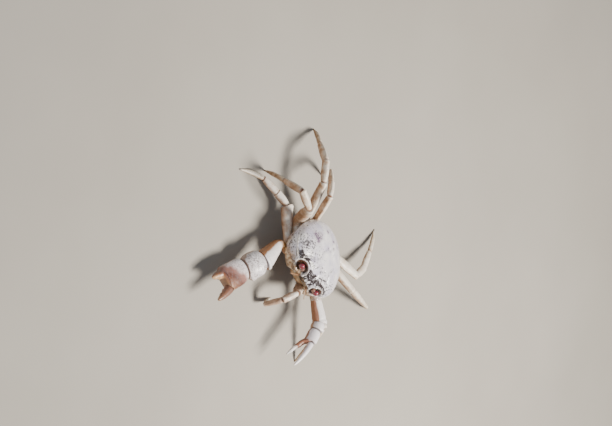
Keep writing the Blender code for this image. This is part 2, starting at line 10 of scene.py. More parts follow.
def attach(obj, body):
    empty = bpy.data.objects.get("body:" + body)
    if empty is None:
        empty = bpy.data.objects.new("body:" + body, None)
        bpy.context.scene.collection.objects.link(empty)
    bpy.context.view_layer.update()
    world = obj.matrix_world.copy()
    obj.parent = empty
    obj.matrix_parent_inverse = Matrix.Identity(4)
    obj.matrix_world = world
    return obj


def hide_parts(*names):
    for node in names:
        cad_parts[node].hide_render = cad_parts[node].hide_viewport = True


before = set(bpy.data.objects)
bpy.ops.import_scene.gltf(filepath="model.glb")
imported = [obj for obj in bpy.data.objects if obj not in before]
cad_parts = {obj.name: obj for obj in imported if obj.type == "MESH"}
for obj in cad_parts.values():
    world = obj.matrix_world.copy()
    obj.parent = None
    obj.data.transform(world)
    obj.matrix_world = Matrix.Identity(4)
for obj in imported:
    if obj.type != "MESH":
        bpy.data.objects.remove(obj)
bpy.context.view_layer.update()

# ---------------------------------------------------------------- back shell
# The carapace: one piece of limy horn over the whole back, turned under at the front into the face and
# down the sides. It is inflated over the gills, smooth on top and lightly grained, with a cup for each
# eye cut into its front edge, and shallow furrows where the muscles are rooted inside.

# Lengths are in millimetres of the animal's own frame: x to its left, y to its rear and z to its back.
# The stance stands that frame on the floor, with the front raised and the left side a little low.
MM = 0.001
STANCE_PLACE = (-10.130, 4.888, 36.0)
STANCE = (
    Matrix.Translation(Vector(STANCE_PLACE) * MM)
    @ Matrix.Rotation(radians(-14.3), 4, "X")
    @ Matrix.Rotation(radians(5.7), 4, "Y")
)
FLOOR_UP = STANCE.to_3x3().transposed() @ Vector((0, 0, 1))
FLOOR_POINT = FLOOR_UP * -STANCE_PLACE[2]
# Half width and half length of the shell, how far its sides lie ahead of its middle, its height above
# and depth below its edge, and the level at which it is cut off below
SHELL_HALF_WIDTH = 40.0
SHELL_HALF_LENGTH = 32.0
SHELL_FORWARD_SHIFT = 6.0
SHELL_DOME = 14.5
SHELL_BELLY = 17.0
SHELL_FLOOR = -10.5
FRONT_SQUARENESS = 1.3
# Middle of the left eye socket, and its half width, depth and half height
SOCKET = Vector((17.2, -31.2, 1.0))
SOCKET_RADII = (7.9, 4.8, 5.6)
SIDE_BEADS = 70
CHEEK_SWELL = (2.4, -1.6, -4.2)
ARM_CLEARANCE = 0.9
SIDES = {"left": 1, "right": -1}

SHELL_WHITE = "DCD8DE"
SHELL_CREAM = "E6DDCF"
SHELL_SPOT = "443E46"
SHELL_STAIN = "352E2E"
SHELL_PLUM = "6E5A70"
CUP_SHADE_BROWN = "4A2E1C"
FACE_AND_SHADE_BROWN = "8C6A48"


def linear(hex_colour):
    """An sRGB hex colour as the linear values that a shader takes."""
    parts = [int(hex_colour[i : i + 2], 16) / 255 for i in (0, 2, 4)]
    return [p / 12.92 if p <= 0.04045 else ((p + 0.055) / 1.055) ** 2.4 for p in parts] + [1.0]


def add(tree, kind, inputs=None, out=0, stops=(), **properties):
    """Adds a node and gives one of its outputs. An input takes a value, a hex colour or an output."""
    node = tree.nodes.new("ShaderNode" + kind)
    for name, value in properties.items():
        setattr(node, name, value)
    for socket, value in (inputs or {}).items():
        if isinstance(value, bpy.types.NodeSocket):
            tree.links.new(value, node.inputs[socket])
        else:
            node.inputs[socket].default_value = linear(value) if isinstance(value, str) else value
    if stops:
        elements = node.color_ramp.elements
        while len(elements) < len(stops):
            elements.new(0.5)
        for element, (place, colour) in zip(elements, stops):
            element.position = place
            element.color = linear(colour)
    return node.outputs[out]


def start_material(name, roughness, coat=0.0):
    """A material with the refraction of horn and the shader values that are the same all over it."""
    material = bpy.data.materials.new(name)
    material.use_nodes = True
    tree = material.node_tree
    shader = tree.nodes["Principled BSDF"]
    shader.inputs["Roughness"].default_value = roughness
    shader.inputs["IOR"].default_value = 1.55
    shader.inputs["Coat Weight"].default_value = coat
    shader.inputs["Coat Roughness"].default_value = 0.25
    return material, tree, shader


def freckled(tree, colour, dot_reach, dots, edge, strength, freckle):
    """A colour with soft round dots, where the distance to a cell's middle is less than the reach."""
    near = add(tree, "Math", {0: dot_reach, 1: dots}, operation="SUBTRACT")
    inside = add(tree, "MapRange", {"Value": near, "From Min": edge[0], "From Max": edge[1]})
    amount = add(tree, "Math", {0: inside, 1: strength}, operation="MULTIPLY")
    return add(tree, "Mix", {0: amount, 6: colour, 7: freckle}, 2, data_type="RGBA")


def finish_material(tree, shader, colour, height, strength, depth):
    """Gives the shader its colour and a fine relief of the given depth in millimetres."""
    tree.links.new(colour, shader.inputs["Base Color"])
    relief = add(tree, "Bump", {"Height": height, "Strength": strength, "Distance": depth * MM})
    tree.links.new(relief, shader.inputs["Normal"])


def smooth(value, low, high):
    """0 below low, 1 above high, eased between."""
    part = min(1.0, max(0.0, (value - low) / (high - low)))
    return part * part * (3 - 2 * part)


def dot_of(value, middle, width):
    """A soft bump: 1 in the middle, fading over the width."""
    return exp(-(((value - middle) / width) ** 2))


def shell_point(direction):
    """The point of the plain shell that a unit sphere's point is moved to."""
    nz = direction.z
    flat = sqrt(max(0.0, 1 - nz * nz))
    if flat < 1e-6:
        return Vector((0, 0, SHELL_DOME if nz > 0 else -SHELL_BELLY))
    ux, uy = direction.x / flat, direction.y / flat
    frontness = max(0.0, -uy) ** 2
    power = 2.0 + (FRONT_SQUARENESS * frontness if nz < 0 else 0.25)
    rho = max(0.0, 1 - abs(nz) ** power) ** (1 / power)
    x = SHELL_HALF_WIDTH * rho * ux
    y = SHELL_HALF_LENGTH * rho * uy - SHELL_FORWARD_SHIFT * rho * rho * ux * ux
    z = (SHELL_DOME if nz > 0 else SHELL_BELLY) * nz
    return Vector((x, y, z))


def near_curve(x, y, points):
    """Distance from a place on the back to a line through the given points."""
    least = 1e9
    for (ax, ay), (bx, by) in zip(points, points[1:]):
        dx, dy = bx - ax, by - ay
        part = min(1.0, max(0.0, ((x - ax) * dx + (y - ay) * dy) / (dx * dx + dy * dy)))
        least = min(least, sqrt((x - ax - dx * part) ** 2 + (y - ay - dy * part) ** 2))
    return least


# Furrows of the left half of the back, mirrored on the right: from the orbit down beside the stomach to
# the middle, along the heart, between the eyes, and a short one across the gills
FURROWS = (
    ((24.0, -24.0), (17.0, -20.0), (12.0, -14.0), (11.5, -6.0), (8.0, 1.5), (3.0, 4.0)),
    ((3.0, 4.0), (5.5, 9.0), (5.0, 15.0), (8.0, 21.0)),
    ((0.0, -29.0), (0.5, -22.0), (3.0, -17.0)),
    ((11.5, -6.0), (19.0, -4.0), (26.0, -8.0)),
)
FURROW_DEPTHS = (1.0, 0.8, 0.7, 0.5)


def furrow_depth(point):
    """Depth of the furrows at a point, on lines that wander a little."""
    wander = noise.noise(point * 0.12) * 1.2
    x, y = abs(point.x) + wander, point.y + wander
    return sum(
        depth * dot_of(near_curve(x, y, line), 0, 1.7) for line, depth in zip(FURROWS, FURROW_DEPTHS)
    )


def socket_reach(point, side):
    """How far out a point lies in an eye socket, 1 on its edge."""
    offset = point - Vector((SOCKET.x * SIDES[side], SOCKET.y, SOCKET.z))
    return sqrt((offset.x / SOCKET_RADII[0]) ** 2 + (offset.z / SOCKET_RADII[2]) ** 2)


def side_line(point):
    """How near a point is to the raised line along the side edge, 1 on it."""
    ahead = smooth(-point.y, 3, 14) * smooth(abs(point.x), 25, 29)
    return dot_of(point.z, 1.2 + 0.05 * point.y, 0.8) * ahead


def dress_shell(point):
    """The finished place of a point of the plain shell, in body millimetres."""
    x, y, z = point
    out = Vector((x / SHELL_HALF_WIDTH ** 2, y / SHELL_HALF_LENGTH ** 2, z / SHELL_DOME ** 2)).normalized()
    top = smooth(z, 0.5, 5.0)
    moved = point - out * (furrow_depth(point) * top)
    # low swellings over the gills, the stomach and the heart
    moved += out * top * (
        0.5 * dot_of(abs(x), 24, 9) * dot_of(y, 2, 14)
        + 0.35 * dot_of(abs(x), 5.5, 4.5) * dot_of(y, -16, 6)
        + 0.35 * dot_of(x, 0, 4) * dot_of(y, 12, 6)
    )
    # a raised line of small beads along the side edge, from behind the eye to the widest place
    beads = 0.55 + 0.45 * sin(atan2(x / SHELL_HALF_WIDTH, -y / SHELL_HALF_LENGTH) * SIDE_BEADS)
    moved += out * 0.8 * beads * side_line(point)
    # the hind edge is rolled into a thin bead
    moved += out * 0.5 * dot_of(z, 0.2, 1.0) * smooth(y, 14, 24)
    # the front between the eyes: a lip that overhangs the face
    middle = smooth(11.5 - abs(x), -0.5, 2.5) * smooth(-y, 24, 28)
    moved += Vector((0, -1.5, -0.2)) * middle * dot_of(z, -0.4, 1.7)
    moved += Vector((0, 1.6, 0)) * middle * dot_of(z, -4.4, 1.9)
    # the cheeks swell down over the roots of the claw legs
    cheek = smooth(-z, 3, 10.5) * smooth(-y, -4, 9) * smooth(abs(x), 10, 17)
    moved += Vector((CHEEK_SWELL[0] if x > 0 else -CHEEK_SWELL[0], *CHEEK_SWELL[1:])) * cheek
    for side in SIDES:
        reach = socket_reach(point, side)
        if y > -18 or reach > 1.9:
            continue
        lip = dot_of(reach, 1.1, 0.1) * (0.8 + 0.6 * noise.noise(point * 0.5))
        moved += Vector((0, -1.1, 0)) * lip + out * 0.5 * lip
        if reach < 1.0:
            floor_y = SOCKET.y + SOCKET_RADII[1] * sqrt(1 - reach * reach)
            moved.y = max(moved.y, floor_y)
    grain = noise.noise(point * 0.9) * 0.06 + noise.noise(point * 0.35) * 0.1
    return moved + out * grain * (0.5 + 0.5 * smooth(-y, -10, 20))


def finish_piece(name, bm, material, nodes, sharp=38):
    """Makes a body-frame mesh a shown piece in place of its plain solids."""
    bmesh.ops.recalc_face_normals(bm, faces=bm.faces)
    bm.normal_update()
    # how far each point faces the back of the animal, for its colour: the materials make such faces paler
    # and turned-away ones darker, partly the horn's own tones and partly painted light and shade
    upper_layer = bm.verts.layers.float.new("upper")
    for vert in bm.verts:
        vert[upper_layer] = vert.normal.z
    bmesh.ops.transform(bm, matrix=STANCE @ Matrix.Scale(MM, 4), verts=bm.verts)
    mesh = bpy.data.meshes.new(name)
    bm.to_mesh(mesh)
    bm.free()
    mesh.shade_smooth()
    mesh.set_sharp_from_angle(angle=radians(sharp))
    mesh.materials.append(material)
    piece = bpy.data.objects.new(name, mesh)
    bpy.context.scene.collection.objects.link(piece)
    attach(piece, "root")
    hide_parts(*nodes)


def trim(bm, point, normal):
    """Cuts off what lies past the plane, on the side its normal points to, and closes the cut."""
    geometry = bm.verts[:] + bm.edges[:] + bm.faces[:]
    cut = bmesh.ops.bisect_plane(
        bm, geom=geometry, dist=1e-5, plane_co=point, plane_no=normal, clear_outer=True
    )
    rim = [item for item in cut["geom_cut"] if isinstance(item, bmesh.types.BMEdge)]
    if rim:
        bmesh.ops.edgeloop_fill(bm, edges=rim)


def claw_aim(side, sweep, lift):
    """Direction of a claw article: sweep is turned outwards from straight ahead."""
    sweep, lift = radians(sweep), radians(lift)
    return Vector((SIDES[side] * sin(sweep) * cos(lift), -cos(sweep) * cos(lift), sin(lift)))


# Where each claw leg is rooted (its x on either side), the lengths of its articles, the sweep and lift of
# each, and the half thickness of the arm at its root and at its far end
CLAW_HIP = {"right": (20.0, -18.0, -14.0), "left": (20.0, -18.0, -12.0)}
CLAW_LENGTHS = {"right": (17.5, 28.3, 20.5, 27.0), "left": (13.9, 26.0, 8.2, 12.8)}
CLAW_POSE = {
    "right": ((93.7, -14.9), (8.7, -11.8), (23.5, -31), (28, -14)),
    "left": ((81.6, 15), (47.3, 8), (2, -8), (3, -10)),
}
CLAW_ARM = {"right": (3.7, 9.2), "left": (4.0, 6.5)}


def claw_course(side):
    """Joint points of a claw leg, with each article's direction."""
    point = Vector(CLAW_HIP[side])
    point.x *= SIDES[side]
    points, ways = [point], []
    for length, (sweep, lift) in zip(CLAW_LENGTHS[side], CLAW_POSE[side]):
        ways.append(claw_aim(side, sweep, lift))
        points.append(points[-1] + ways[-1] * length)
    return points, ways


def stand_clear(point, start, end, radius):
    """Pushes a point out of a round passage from start to end."""
    way = end - start
    part = min(1.0, max(0.0, (point - start).dot(way) / way.length_squared))
    nearest = start + way * part
    gap = point - nearest
    if gap.length >= radius:
        return point
    return nearest + (gap.normalized() if gap.length > 1e-6 else Vector((0, 0, 1))) * radius


# Blotches on the back: x, y and size
PLUM_SPOTS = (
    (-29.0, -1.0, 3.6), (-25.0, -3.6, 3.0), (-24.0, 2.2, 3.0), (-16.0, 15.4, 1.6), (-7.0, 2.7, 1.5),
    (0.0, 8.0, 1.6), (-3.0, 15.0, 1.2),
)


# Dark streaks behind and between the orbits: line on the back, half width and strength
STREAKS = (
    (
        ((-31.5, -23.6), (-29.4, -24.8), (-25.9, -25.0), (-21.4, -24.9), (-16.4, -24.6), (-11.5, -25.2)),
        1.9,
        1.4,
    ),
    (((-10.5, -29.0), (-7.3, -30.2), (-3.0, -30.0)), 2.0, 1.2),
    (((0.5, -29.8), (8.1, -28.0), (14.0, -26.6), (20.0, -25.4), (25.0, -24.6)), 1.9, 1.25),
    (((-9.8, -25.2), (-6.5, -21.0), (-7.0, -18.0)), 0.8, 0.75),
    (((-3.0, -27.4), (0.3, -26.4), (7.3, -23.7), (14.1, -19.9)), 1.0, 0.85),
    (((-22.0, -21.0), (-17.0, -22.0), (-11.0, -20.0)), 0.9, 0.7),
)


def shell_marks(plain):
    """Stain, speckle, cream, underside, plum and eye cup amounts at a point of the shell. The underside
    amount is partly painted shade and the eye cup amount is painted shade.
    """
    x, y, z = plain
    ax = abs(x)
    cloud = 0.5 + 0.5 * noise.noise(plain * 0.11 + Vector((3, 1, 7)))
    fine = 0.5 + 0.5 * noise.noise(plain * 0.45)
    stain = smooth(furrow_depth(plain), 0.25, 0.75) * (0.4 + 0.6 * fine) * smooth(-y, -6, 12) * 0.8
    for line, width, strength in STREAKS:
        streak = strength * dot_of(near_curve(x, y, line), 0, width) * smooth(z, -3, 0)
        stain = max(stain, streak * (0.75 + 0.5 * fine))
    # mottling outside the orbits and along the front
    stain += 0.8 * dot_of(-x, 33, 6) * dot_of(y, -15, 8) * smooth(fine, 0.3, 0.6) * smooth(z, -5, 0)
    stain += 0.4 * dot_of(x, 30, 6) * dot_of(y, -19, 5) * smooth(fine, 0.38, 0.6) * smooth(z, -4, 1)
    stain += 0.75 * smooth(-y, 24.5, 29) * smooth(14 - ax, 0, 3) * smooth(fine, 0.25, 0.6)
    speckle = 0.2 + 0.65 * smooth(-y, -2, 20) + 0.5 * smooth(-x, 5, 32)
    plum = 0.0
    for spot_x, spot_y, spot_size in PLUM_SPOTS:
        plum += dot_of(x, spot_x, spot_size) * dot_of(y, spot_y, spot_size)
    plum *= 1.25 * smooth(fine, 0.12, 0.36)
    cream = max(smooth(y, 20, 27) * dot_of(z, 0.0, 3.5), 0.7 * side_line(plain))
    lip, inside = 0.0, 0.0
    for side in SIDES:
        if y < -18:
            reach = socket_reach(plain, side)
            lip = max(lip, dot_of(reach, 1.06, 0.055) * smooth(fine, 0.15, 0.5))
            # the hollow of each eye cup is painted dark brown as shade
            inside = max(inside, smooth(1 - reach, -0.02, 0.12))
    # the lower sides, rising towards the front, and the face below the front lip are painted brown: partly
    # the underside's own colour and partly painted shade under the overhang of the back
    edge = z + 4.5 * (cloud - 0.5) + 2.5 * (fine - 0.5) - 4.0 * smooth(-y, 15, 25)
    under = 1 - smooth(edge, -9.5, -4.5)
    face = smooth(13.0 - ax, 0, 2) * smooth(-z, 1.0, 2.2) * smooth(-y, 18, 22)
    under = max(under, face)
    clean = 1 - max(lip, cream * 0.8)
    return min(1, stain) * clean, min(1, speckle) * clean, max(cream, lip), under, min(1, plum), inside


shell = bmesh.new()
bmesh.ops.create_icosphere(shell, subdivisions=7, radius=1)
mark_names = ("stain", "speckle", "cream", "under", "plum", "cup")
mark_layers = [shell.verts.layers.float.new(name) for name in mark_names]
for vert in shell.verts:
    vert.co = shell_point(vert.co.normalized())
trim(shell, Vector((0, 0, SHELL_FLOOR)), Vector((0, 0, -1)))
# round passages that leave the roots of the claw legs clear of the shell
passages = []
for side in SIDES:
    points, ways = claw_course(side)
    radius = CLAW_ARM[side][0] + ARM_CLEARANCE
    passages.append((points[1] - ways[0] * 4, points[1], radius))
    passages.append((points[1], points[1] + ways[1] * 12, radius + 0.4))
for vert in shell.verts:
    plain = vert.co.copy()
    place = dress_shell(plain)
    if plain.z < 0 and abs(plain.z - SHELL_FLOOR) > 0.01:
        for start, end, radius in passages:
            place = stand_clear(place, start, end, radius)
    # the mouth frame is a sunken bay in the face
    bay = smooth(8.6 - abs(plain.x), 0, 1.0) * smooth(-6.6 - plain.z, 0, 1.0) * smooth(-plain.y, 8, 12)
    place.y += 4.0 * bay
    vert.co = place
    for layer, value in zip(mark_layers, shell_marks(plain)):
        vert[layer] = value

# Calcified cuticle, grown in one piece: chalky lilac white with a soft gloss, peppered with fine dark
# dots that crowd together towards the front, and thin enough at the edges to go cream
cuticle, tree, shader = start_material("calcified_carapace_cuticle", 0.42, 0.25)
place = add(tree, "TexCoord", out="Object")
marks = {name: add(tree, "Attribute", out="Fac", attribute_name=name) for name in mark_names}
# clouds about 12 mm across, and a waver of about 1 mm that makes the dots ragged
clouds = add(tree, "TexNoise", {"Vector": place, "Scale": 85.0, "Detail": 4.0})
waver = add(tree, "TexNoise", {"Vector": place, "Scale": 900.0, "Detail": 2.0}, "Color")
ragged = add(tree, "Mix", {0: 0.0018, 6: place, 7: waver}, 2, data_type="RGBA")
cloud_stops = ((0.3, "C6C1D2"), (0.5, SHELL_WHITE), (0.72, "F2F0EE"))
colour = add(tree, "ValToRGB", {"Fac": clouds}, stops=cloud_stops)
# dots about 2.3 mm and 1 mm apart: cells in a metre, size of the dots in their cells, and strength
for cells, size, strength in ((430.0, 0.98, 0.85), (1000.0, 0.9, 0.6)):
    dots = add(tree, "TexVoronoi", {"Vector": ragged, "Scale": cells, "Randomness": 1.0})
    dot_size = add(tree, "TexNoise", {"Vector": place, "Scale": cells * 0.4, "Detail": 3.0})
    dot_reach = add(tree, "Math", {0: dot_size, 1: marks["speckle"]}, operation="MULTIPLY")
    dot_reach = add(tree, "Math", {0: dot_reach, 1: size, 2: -0.13}, operation="MULTIPLY_ADD")
    colour = freckled(tree, colour, dot_reach, dots, (-0.04, 0.06), strength, SHELL_SPOT)
# the stain breaks up into worm-like marks about 2 mm wide
worms = add(tree, "TexNoise", {"Vector": place, "Scale": 480.0, "Detail": 2.5, "Distortion": 1.6})
level = add(tree, "Math", {0: marks["stain"], 1: 0.32, 2: worms}, operation="MULTIPLY_ADD")
worm = add(tree, "MapRange", {"Value": level, "From Min": 0.66, "From Max": 0.73})
stain = add(tree, "Math", {0: marks["stain"], 1: 0.9}, operation="MINIMUM")
stain = add(tree, "Math", {0: stain, 1: 1.15}, operation="MULTIPLY")
stain = add(tree, "Math", {0: worm, 1: stain}, operation="MULTIPLY")
colour = add(tree, "Mix", {0: stain, 6: colour, 7: SHELL_STAIN}, 2, data_type="RGBA")
# the plum blotches are broken up by the same noise
blotch = add(tree, "MapRange", {"Value": worms, "From Min": 0.34, "From Max": 0.52})
plum = add(tree, "Math", {0: marks["plum"], 1: blotch}, operation="MULTIPLY")
plum = add(tree, "Math", {0: plum, 1: 1.1}, operation="MULTIPLY")
colour = add(tree, "Mix", {0: plum, 6: colour, 7: SHELL_PLUM}, 2, data_type="RGBA")
# the face and the lower sides are clouded brown, about 3 mm across, partly their own colour and partly
# painted shade
underside_and_shade_clouds = add(tree, "TexNoise", {"Vector": place, "Scale": 330.0, "Detail": 5.0})
underside_and_shade_stops = ((0.32, "54402E"), (0.48, FACE_AND_SHADE_BROWN), (0.66, "C4AC8C"))
underside_and_shade = add(tree, "ValToRGB", {"Fac": underside_and_shade_clouds}, stops=underside_and_shade_stops)
# the cream edges, the underside and face brown with its painted shade, and the dark brown painted as shade
# in the eye cups
for name, mark_colour in (("cream", SHELL_CREAM), ("under", underside_and_shade), ("cup", CUP_SHADE_BROWN)):
    colour = add(tree, "Mix", {0: marks[name], 6: colour, 7: mark_colour}, 2, data_type="RGBA")
# low relief of the small dots and of a grain of about 0.7 mm
grain = add(tree, "TexNoise", {"Vector": place, "Scale": 1400.0, "Detail": 3.0})
height = add(tree, "Math", {0: dots, 1: 0.35, 2: grain}, operation="MULTIPLY_ADD")
finish_material(tree, shader, colour, height, 0.35, 0.35)
gloss = add(tree, "ValToRGB", {"Fac": clouds}, stops=((0.2, "5A5A5A"), (0.8, "8C8C8C")))
tree.links.new(gloss, shader.inputs["Roughness"])
finish_piece("carapace_shell", shell, cuticle, ["carapace"], 60)

# ---------------------------------------------------------------- walking legs
# Eight walking legs, each of four long articles that hinge on one another by peg and socket. Each
# article is a flattened tube of horn with a ridge along its upper edge; soft skin shows only at the
# joints. The last article is a long pointed claw with rows of short spines.

# Hip place (its x on either side), hip sweep and lift, and length of the short hip article
LEG_ROOTS = {
    "right_1": ((18.1, -8.0, -17.5), (4, -6), 10.0),
    "right_2": ((21.7, 4.0, -15.9), (38, 7), 15.5),
    "right_3": ((19.5, 13.0, -18.0), (60, 32), 13.0),
    "right_4": ((15.0, 25.0, -17.0), (85, 58), 11.2),
    "left_1": ((20.0, -9.0, -19.0), (-25, -40), 9.0),
    "left_2": ((19.0, 3.5, -18.5), (40, -30), 13.0),
    "left_3": ((22.0, 13.0, -17.4), (60, 34), 13.0),
    "left_4": ((20.0, 24.0, -13.0), (39, 26), 13.0),
}
LEG_LENGTHS = {1: (34, 16, 19, 23), 2: (39, 20, 25, 29), 3: (42, 21, 27, 31), 4: (39, 18, 24, 28)}
LEG_BULK = {1: 0.95, 2: 1.0, 3: 1.0, 4: 0.9}
MERUS_SECTION = ((3.0, 2.7), (4.4, 3.5), (5.4, 4.0), (4.3, 3.5))
CARPUS_SECTION = ((3.0, 2.7), (4.2, 3.6), (4.1, 3.4))
PROPODUS_SECTION = ((3.6, 2.9), (3.9, 3.0), (3.0, 2.5))
DACTYL_SECTION = ((2.7, 2.3), (2.4, 2.0), (0.75, 0.7))
CLUBBED_MERUS = ((2.8, 2.5), (3.9, 3.4), (5.8, 4.8), (6.7, 5.2))
DACTYL_BOW = 1.2
# How far behind its joint point an article starts, and how far short of the next one it is cut off
ARTICLE_START = 1.2
JOINT_GAP = 0.15
RUN_STEP = 0.02
LEG_SIDES = 32
# Sweep back from straight sideways, lift, twist of the bending plane, and the three bends
LEG_POSE = {
    "right_1": (56, -4, -67, 50, 5, 26),
    "right_2": (-24, 45, 43, 55, 80, 5),
    "right_3": (35, 34, 43, 45, 36, 5),
    "right_4": (4, 42, 76, 95, 18, 36),
    "left_1": (-123, 24, 13, 58, 55, 73),
    "left_2": (-51.3, 19.4, 12.6, 5, 59.3, 5),
    "left_3": (-11, 25, 49, 50, 5, 5),
    "left_4": (7, 18, 80, 63, 16, 8),
}


def aim(side, sweep, lift):
    """Direction of a leg article: sweep is turned backwards from straight sideways."""
    sweep, lift = radians(sweep), radians(lift)
    return Vector((SIDES[side] * cos(sweep) * cos(lift), sin(sweep) * cos(lift), sin(lift)))


def leg_course(side, number):
    """Joint points of a leg, with each article's direction and its upper side."""
    sweep, lift, twist, *bends = LEG_POSE[f"{side}_{number}"]
    place, hip_aim, hip_length = LEG_ROOTS[f"{side}_{number}"]
    hip = Vector(place)
    hip.x *= SIDES[side]
    hip_way = aim(side, *hip_aim)
    lengths = LEG_LENGTHS[number]
    points = [hip, hip + hip_way * hip_length]
    way = aim(side, sweep, lift)
    up = Vector((0, 0, 1))
    upper = (up - way * way.dot(up)).normalized()
    across = way.cross(upper)
    twist = radians(twist)
    upper = upper * cos(twist) + across * (sin(twist) * SIDES[side])
    ways, uppers, bend = [], [], 0.0
    for step, length in enumerate(lengths):
        if step:
            bend += radians(bends[step - 1])
        ways.append(way * cos(bend) - upper * sin(bend))
        uppers.append(way * sin(bend) + upper * cos(bend))
        if step == len(lengths) - 1:
            length = (points[-1] - FLOOR_POINT).dot(FLOOR_UP) / -ways[-1].dot(FLOOR_UP)
        points.append(points[-1] + ways[-1] * length)
    return points, hip_way, ways, uppers


def bent_line(a, b, c, soft):
    """A path from a through b to c with its corner eased over a length on each side."""
    first, second = (b - a).length, (c - b).length
    whole = first + second

    def spot(run):
        run = min(max(run, 0.0), whole)
        return a.lerp(b, run / first) if run < first else b.lerp(c, (run - first) / second)

    def centre(t):
        run = t * whole
        ease = soft * min(1.0, run / soft, (whole - run) / soft)
        return (spot(run - ease) + spot(run) * 2 + spot(run + ease)) / 4

    return centre


def blend_sections(sections, t):
    """Half sizes at a place along evenly spaced sections, eased from each to the next."""
    place = min(1.0, max(0.0, t)) * (len(sections) - 1)
    low = min(int(place), len(sections) - 2)
    part = smooth(place - low, 0, 1)
    return [a + (b - a) * part for a, b in zip(sections[low], sections[low + 1])]


def limb_form(centre, breadth_way, section, sides, rings, swell=None, ring_way=None):
    """A closed tube with half sizes from section(t). Its points keep their place along and across."""
    bm = bmesh.new()
    bmesh.ops.create_cone(bm, cap_ends=True, segments=sides, radius1=1, radius2=1, depth=1)
    long_edges = [e for e in bm.edges if abs(e.verts[0].co.z - e.verts[1].co.z) > 0.5]
    bmesh.ops.subdivide_edges(bm, edges=long_edges, cuts=rings - 1)
    along_layer = bm.verts.layers.float.new("along")
    broad_layer = bm.verts.layers.float.new("broad")
    for vert in bm.verts:
        vert[broad_layer] = vert.co.x
        t = vert.co.z + 0.5
        across, side_on = vert.co.x, vert.co.y
        breadth, thickness = section(t)
        angle = atan2(side_on, across)
        push = swell(t, angle) if swell else 1.0
        run = ring_way or (centre(min(1.0, t + RUN_STEP)) - centre(max(0.0, t - RUN_STEP))).normalized()
        broad = (breadth_way - run * run.dot(breadth_way)).normalized()
        offset = broad * (across * breadth * push) + run.cross(broad) * (side_on * thickness * push)
        vert[along_layer] = t
        vert.co = centre(t) + offset
    return bm


def end_rounding(t, share, least):
    """Girth near the ends, rounded off over a share of the length down to the least."""
    near = min(t, 1 - t) / share
    return 1.0 if near >= 1 else least + (1 - least) * sqrt(max(0.0, 1 - (1 - near) ** 2))


def article_section(sections, bulk, share, least, neck=0.0, flare=0.0):
    """Half sizes along an article: rounded ends, a neck after its joint and a flared rim before the next."""

    def section(t):
        breadth, thickness = blend_sections(sections, t)
        size = bulk * end_rounding(t, share, least)
        size *= 1 - neck * (1 - smooth(t, 0.03, 0.13))
        size *= 1 + flare * dot_of(t, 0.955, 0.03)
        return breadth * size, thickness * size

    return section


def mitre(way_in, way_out):
    """Direction square to the cut that halves the bend between two articles."""
    return (way_in + way_out).normalized()


def reach(before, after, breadth):
    """How far an article runs past its joint point to fill the outside of the bend."""
    half_bend = before.angle(after) / 2
    return min(breadth * tan(min(half_bend, radians(50))), breadth * 0.8)


def leg_relief(seed, ridge, rough):
    """Ridge along the upper edge, two faint ones below, and an even grain."""

    def swell(t, angle):
        keel = ridge * exp(-((angle / 0.3) ** 2)) * smooth(t, 0.08, 0.3)
        lower = 0.05 * (exp(-(((abs(angle) - 2.5) / 0.2) ** 2)))
        spot = Vector((t * 9 + seed, cos(angle) * 1.6, sin(angle) * 1.6))
        return 1.0 + keel + lower + rough * noise.noise(spot * 3) + rough * 0.6 * noise.noise(spot * 8)

    return swell


# Limb cuticle, calcified but thinner than the shell: cream to chalk white along the upper ridge, tan to
# burnt ochre below, with the joint skin and the article ends darker; satin, with a fine grain. The pale
# tops and dark undersides follow which way each face turns, and are partly the horn's own two tones and
# partly painted light and shade.
def limb_cuticle(name, top, middle, low, neck, tip=None):
    material, tree, shader = start_material(name, 0.46, 0.15)
    place = add(tree, "TexCoord", out="Object")
    along = add(tree, "Attribute", out="Fac", attribute_name="along")
    upper = add(tree, "Attribute", out="Fac", attribute_name="upper")
    # patches about 6 mm across, dots about 2 mm apart and a grain of about 0.8 mm
    patches = add(tree, "TexNoise", {"Vector": place, "Scale": 170.0, "Detail": 5.0})
    # faces turned to the animal's back, towards the overhead lamp, go paler and those below darker: partly
    # the horn's own two tones and partly painted light and shade
    level = add(tree, "Math", {0: upper, 1: 0.4, 2: patches}, operation="MULTIPLY_ADD")
    stops = ((0.2, low), (0.42, middle), (0.66, top), (0.92, "ECE5DA"))
    colour = add(tree, "ValToRGB", {"Fac": level}, stops=stops)
    dots = add(tree, "TexVoronoi", {"Vector": place, "Scale": 560.0})
    dot_size = add(tree, "TexNoise", {"Vector": place, "Scale": 240.0, "Detail": 2.0})
    dot_reach = add(tree, "Math", {0: dot_size, 1: 0.42}, operation="MULTIPLY")
    colour = freckled(tree, colour, dot_reach, dots, (-0.05, 0.06), 0.35, "7A6450")
    at_neck = add(tree, "MapRange", {"Value": along, "From Min": 0.11, "From Max": 0.04})
    colour = add(tree, "Mix", {0: at_neck, 6: colour, 7: neck}, 2, data_type="RGBA")
    if tip:
        at_tip = add(tree, "MapRange", {"Value": along, "From Min": 0.86, "From Max": 0.97})
        colour = add(tree, "Mix", {0: at_tip, 6: colour, 7: tip}, 2, data_type="RGBA")
    grain = add(tree, "TexNoise", {"Vector": place, "Scale": 1300.0, "Detail": 3.0})
    finish_material(tree, shader, colour, grain, 0.3, 0.3)
    return material


# The articles are cream over tan. The front pair of legs has a copy of the same cuticle painted in shade:
# darker, pinker and duller all over. The last article is harder horn without lime, yellower, and worn dark
# at its tip.
article_cuticle = limb_cuticle("calcified_limb_cuticle", "DDCDB9", "C09C7C", "94653C", "7A4A2C")
front_leg_shade_cuticle = limb_cuticle("front_leg_cuticle_in_painted_shade", "CDB29C", "B28E74", "8A6346", "7A4A2C")
dactyl_cuticle = limb_cuticle("horny_walking_claw", "D8C6AC", "B08C68", "87603C", "7A4A2C", "3A2A20")


